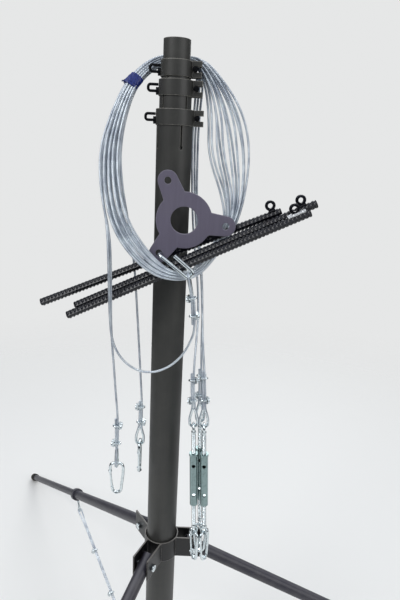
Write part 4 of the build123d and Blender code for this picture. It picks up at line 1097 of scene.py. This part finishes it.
class MAST_OT_stage(bpy.types.Operator):
    """Sets the pale floor, the soft lamps and the camera"""
    bl_idname = "mast.stage"
    bl_label = "Stage"

    def execute(self, context):
        s = context.scene.mast_stage
        pitch, roll = s.eye_pitch, s.eye_roll
        sight = Vector((0, math.cos(pitch), -math.sin(pitch)))
        right, above = Vector((1, 0, 0)), Vector((0, math.sin(pitch), math.cos(pitch)))
        turned_right = right * math.cos(roll) + above * math.sin(roll)
        turned_above = above * math.cos(roll) - right * math.sin(roll)
        camera = link(bpy.data.objects.new("camera", bpy.data.cameras.new("camera")))
        camera.matrix_world = Matrix((
            (turned_right.x, turned_above.x, -sight.x, s.eye_place[0]),
            (turned_right.y, turned_above.y, -sight.y, s.eye_place[1]),
            (turned_right.z, turned_above.z, -sight.z, s.eye_place[2]), (0, 0, 0, 1)))
        camera.data.sensor_width = SENSOR_WIDTH
        # the photograph's angle, over its long side
        camera.data.lens = FOCAL_LENGTH_IN_PIXELS / PHOTO_HEIGHT_IN_PIXELS * SENSOR_WIDTH
        camera.data.clip_start = 0.02
        context.scene.camera = camera

        floor_mesh = bpy.data.meshes.new("floor")
        work = bmesh.new()
        bmesh.ops.create_circle(work, cap_ends=True, segments=96, radius=14.0)
        work.to_mesh(floor_mesh)
        work.free()
        floor = link(bpy.data.objects.new("floor", floor_mesh))
        floor.location = (0, 0, min(0.0, BOX_OF_CAD[0].z) - 0.0004)
        look = {"Base Color": linear(s.floor_colour), "Roughness": 0.9}
        material, tree, shader = new_material("matt_studio_floor", look)
        # the sheet of the floor thins out with distance, so it runs into the backdrop with no horizon
        place = add(tree, "TexCoord").outputs["Object"]
        away = add(tree, "VectorMath", {"operation": "LENGTH"}, {0: place}).outputs["Value"]
        fade = add(tree, "MapRange", {"interpolation_type": "SMOOTHSTEP", "From Min": 0.9, "From Max": 3.2},
                   {"Value": away})
        clear = add(tree, "BsdfTransparent")
        sheet = add(tree, "MixShader",
                    links={0: fade.outputs["Result"], 1: shader.outputs["BSDF"], 2: clear.outputs["BSDF"]})
        tree.links.new(sheet.outputs["Shader"], tree.nodes["Material Output"].inputs["Surface"])
        floor_mesh.materials.append(material)

        world = bpy.data.worlds.new("studio")
        context.scene.world = world
        world.use_nodes = True
        tree = world.node_tree
        tree.nodes.clear()
        seen = add(tree, "LightPath").outputs["Is Camera Ray"]
        place = add(tree, "TexCoord").outputs["Generated"]
        way = add(tree, "SeparateXYZ", links={"Vector": place}).outputs
        share = add(tree, "MapRange", {"From Max": 0.75}, {"Value": way["Z"]}).outputs["Result"]
        sky = add(tree, "Mix", {"data_type": "RGBA", 6: linear("#45494e"), 7: linear("#f4f8fe")}, {0: share}).outputs[2]
        # dark screens at both sides of the studio give bright metal its dark stripes
        side = add(tree, "Math", {"operation": "ABSOLUTE"}, {0: way["X"]}).outputs["Value"]
        screens = {"From Min": 0.5, "From Max": 0.9, "To Min": 0.9, "To Max": 0.22}
        level = add(tree, "MapRange", screens, {"Value": side}).outputs["Result"]
        lighting = add(tree, "Background", links={"Color": sky, "Strength": level})
        backdrop = add(tree, "Background", {"Color": linear("#e9eaea"), "Strength": 0.97})
        both = add(tree, "MixShader", links={0: seen, 1: lighting.outputs[0], 2: backdrop.outputs[0]})
        add(tree, "OutputWorld", links={"Surface": both.outputs[0]})

        for name, place, size, power in LAMPS:
            lamp = bpy.data.lights.new(name, "AREA")
            lamp.shape, lamp.size, lamp.energy = "DISK", size, power
            obj = link(bpy.data.objects.new(name, lamp))
            obj.location = place
            obj.rotation_mode = "QUATERNION"
            obj.rotation_quaternion = (Vector((0, 0, 0.85)) - Vector(place)).to_track_quat("-Z", "Y")
        context.scene.view_settings.view_transform = "Standard"
        return {"FINISHED"}


class MAST_PT_sidebar(bpy.types.Panel):
    """Lists the mast's sizes, colours and pieces"""
    bl_idname = "MAST_PT_sidebar"
    bl_label = "Mast"
    bl_space_type = "VIEW_3D"
    bl_region_type = "UI"
    bl_category = "Mast"

    def draw(self, context):
        for group in (context.scene.mast_finish, context.scene.mast_rope, context.scene.mast_stage):
            box = self.layout.box()
            for name in group.bl_rna.properties.keys():
                if name not in ("rna_type", "name"):
                    box.prop(group, name)
        for operator in OPERATORS:
            self.layout.operator(operator.bl_idname)


GROUPS = {"mast_finish": MastFinishSettings, "mast_rope": MastRopeSettings, "mast_stage": MastStageSettings}
OPERATORS = (MAST_OT_stage, MAST_OT_finishes, MAST_OT_guys, MAST_OT_tape, MAST_OT_turnbuckles, MAST_OT_stakes,
             MAST_OT_clamps, MAST_OT_legs)


def register():
    for group in GROUPS.values():
        bpy.utils.register_class(group)
    for name, group in GROUPS.items():
        setattr(bpy.types.Scene, name, bpy.props.PointerProperty(type=group))
    for operator in OPERATORS:
        bpy.utils.register_class(operator)
    bpy.utils.register_class(MAST_PT_sidebar)


def unregister():
    bpy.utils.unregister_class(MAST_PT_sidebar)
    for operator in reversed(OPERATORS):
        bpy.utils.unregister_class(operator)
    for name in GROUPS:
        delattr(bpy.types.Scene, name)
    for group in reversed(tuple(GROUPS.values())):
        bpy.utils.unregister_class(group)


def main():
    register()
    for operator in OPERATORS:
        group, name = operator.bl_idname.split(".")
        getattr(getattr(bpy.ops, group), name)()


if __name__ == "__main__":
    main()
